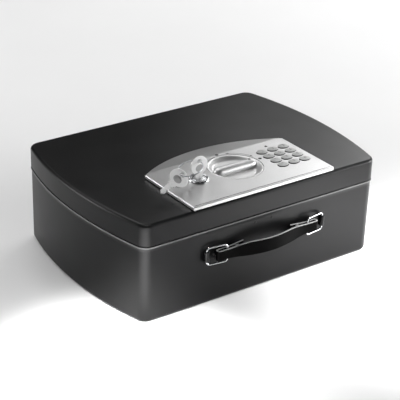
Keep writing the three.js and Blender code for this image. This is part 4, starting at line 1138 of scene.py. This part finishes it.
def build_handle_rivets(paint):
    for side, name in ((-1, "left"), (1, "right")):
        node = f"handle_rivet_{name}"
        inner = box_mm(node)[1].y - FRONT
        profile = [(0, -2.9), (0.9, -2.84), (1.8, -2.66), (2.5, -2.34), (2.9, -1.95), (3.0, -1.6)]
        profile += [(1.5, -1.5), (1.5, inner - 0.8), (2.8, inner - 0.8)]
        profile += [(2.8, inner - 0.4), (2.2, inner), (0, inner)]
        rivet = spin(f"rivet_{name}", profile, 32)
        seat = Matrix.Translation((side * HANDLE_RIVET_X, FRONT, HANDLE_Z))
        place(rivet, seat @ Matrix.Rotation(-math.pi / 2, 4, "X"))
        settle(rivet, paint, "base", [node])


# ---------------------------------------------------------------- fittings kept from the CAD


def finish_node(node, made, edge=0.25):
    """Welds a CAD node's facets, rounds its edges and gives it its material."""
    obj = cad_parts[node]
    joined = obj.modifiers.new("weld", "WELD")
    joined.merge_threshold = 0.002 * MM
    rounded = obj.modifiers.new("edges", "BEVEL")
    rounded.width = edge * MM
    rounded.segments = 2
    rounded.limit_method = "ANGLE"
    rounded.angle_limit = math.radians(38)
    rounded.use_clamp_overlap = True
    obj.data.shade_smooth()
    add_weighted_normals(obj)
    obj.data.materials.clear()
    obj.data.materials.append(made)


def build_cover_screws(steel):
    """Pan heads with a cross recess."""
    for i in range(1, 5):
        low, high = box_mm(f"cover_screw_{i}")
        middle = (low + high) / 2
        head = [(0, low.z), (1.6, low.z + 0.05), (2.6, low.z + 0.35), (3.1, low.z + 0.9), (3.2, low.z + 1.5)]
        screw = spin(f"screw_{i}", head + [(1.5, low.z + 1.5), (1.5, high.z - 1.2), (0, high.z)], 32)
        slots = [plate("slot", [rectangle(-x, x, -y, y, 0.2)], low.z - 1, low.z + 0.95)
                 for x, y in ((1.7, 0.4), (0.4, 1.7))]
        carve(screw, *slots)
        place(screw, Matrix.Translation((middle.x, middle.y, 0)))
        settle(screw, steel, "lid", [f"cover_screw_{i}"])


def build_battery_door(plastic):
    """Sliding door with rounded corners and a ribbed thumb grip."""
    low, high = box_mm("battery_door")
    slab_low = low.z + 1
    door = plate("bay_door", [rectangle(low.x, high.x, low.y, high.y, 1.5)], slab_low, high.z, 0.25, 2)
    ribs = []
    rib_half, rib_pitch = 0.35, 1.3
    for i in range(5):
        y = high.y - 6.5 + i * rib_pitch
        half = 12 - 1.2 * i
        outline = rectangle(-half, half, y - rib_half, y + rib_half, 0.3)
        ribs.append(plate("rib", [outline], low.z + 0.1, slab_low + 0.5, 0.12, 1))
    carve(door, *ribs, operation="UNION")
    settle(door, plastic, "battery_door", ["battery_door"], sharp=30)


def finish_fittings(looks):
    paint, zinc, plastic = looks["paint"], looks["zinc"], looks["plastic"]
    for side in ("left", "right"):
        finish_node(f"hinge_base_leaf_{side}", paint, 0.3)
        finish_node(f"hinge_lid_leaf_{side}", paint, 0.3)
        finish_node(f"hinge_pin_{side}", zinc, 0.4)
        finish_node(f"handle_bracket_{side}", paint, 0.25)
        finish_node(f"strike_rivet_{side}", paint, 0.1)
    finish_node("strike_plate", zinc, 0.3)
    finish_node("lock_cover", plastic, 0.4)
    finish_node("knob_cam", zinc, 0.3)
    finish_node("bolt_bar", zinc, 0.5)
    finish_node("override_cam", zinc, 0.3)
    finish_node("solenoid_plunger", zinc, 0.3)
    finish_node("solenoid_coil", coil_winding(), 0.6)
    finish_node("lock_nut", bright_metal("nut_brass", (0.60, 0.42, 0.18), 0.3), 0.5)
    finish_node("keypad_board", circuit_board(), 0.2)
    sleeve = battery_sleeve()
    for i in range(1, 5):
        finish_node(f"battery_{i}", sleeve, 0.5)


# ---------------------------------------------------------------- scene


def light_scene():
    """Softboxes for the object, and narrow pools of light on the floor that its walls mirror."""
    add_world(0.04)
    add_softbox("overhead_rear", 180, 60, 2.6, (1.8, 1.8), 2.8)
    add_softbox("right_rear", 116, 30, 1.9, (0.9, 0.5), 6.0)
    add_softbox("right_rear_narrow", 134, 31, 1.9, (0.55, 0.45), 2.2)
    add_softbox("front_right_low", 60, 8, 1.6, (1.1, 0.7), 17)
    add_softbox("left_rear", 229, 18, 1.8, (0.5, 0.35), 22)
    add_spot("front_left_pool", (-0.30, -0.40, 0.8), (-0.22, -0.22, 0), 26, 46)
    add_spot("corner_pool", (-0.45, -0.62, 0.8), (-0.215, -0.195, 0), 12, 560)
    add_spot("front_right_pool", (0.36, -0.50, 0.8), (0.16, -0.22, 0), 26, 115)
    add_spot("right_pool", (0.46, -0.50, 0.8), (0.30, -0.20, 0), 26, 32)
    add_spot("left_floor", (-0.75, 0.05, 1.0), (-0.70, 0.08, 0), 60, 30)
    bpy.context.scene.view_settings.view_transform = "Standard"


def build_all():
    looks = {"paint": case_paint(), "zinc": zinc_steel(), "plastic": dull_plastic("cover_plastic", 0.03, 0.5)}
    ink = print_ink()
    chrome = bright_metal("chrome_plate", (0.60, 0.61, 0.62), 0.20, 0.001)
    housing = silver_finish("housing_silver", 0.52, 0.32, 0.004, 0.85)
    build_base(looks["paint"])
    build_lid(looks["paint"])
    build_mat(mat_felt())
    build_panel(housing)
    build_faceplate(silver_finish("plate_silver", 0.52, 0.32, 0.003, 0.85))
    build_panel_marks(ink)
    build_status_led(led_lens())
    figure_ink = dull_plastic("figure_ink", 0.14, 0.6, 0.005)
    # The second, dark plastic of the buttons is painted shade on their lower walls.
    build_buttons(button_rubber(), dull_plastic("button_skirt", 0.02, 0.6, 0.01), figure_ink)
    build_knob(silver_finish("knob_silver", 0.66, 0.42, 0.002, 0.80), ink)
    build_lock(chrome)
    build_keys(silver_finish("key_nickel", 0.90, 0.34, 0.003, 0.15))
    build_key_ring(looks["zinc"])
    build_grip(strap_plastic())
    build_loops(chrome)
    build_handle_rivets(looks["paint"])
    build_cover_screws(looks["zinc"])
    build_battery_door(looks["plastic"])
    finish_fittings(looks)


add_camera()
light_scene()
add_floor(floor_paper())
build_all()
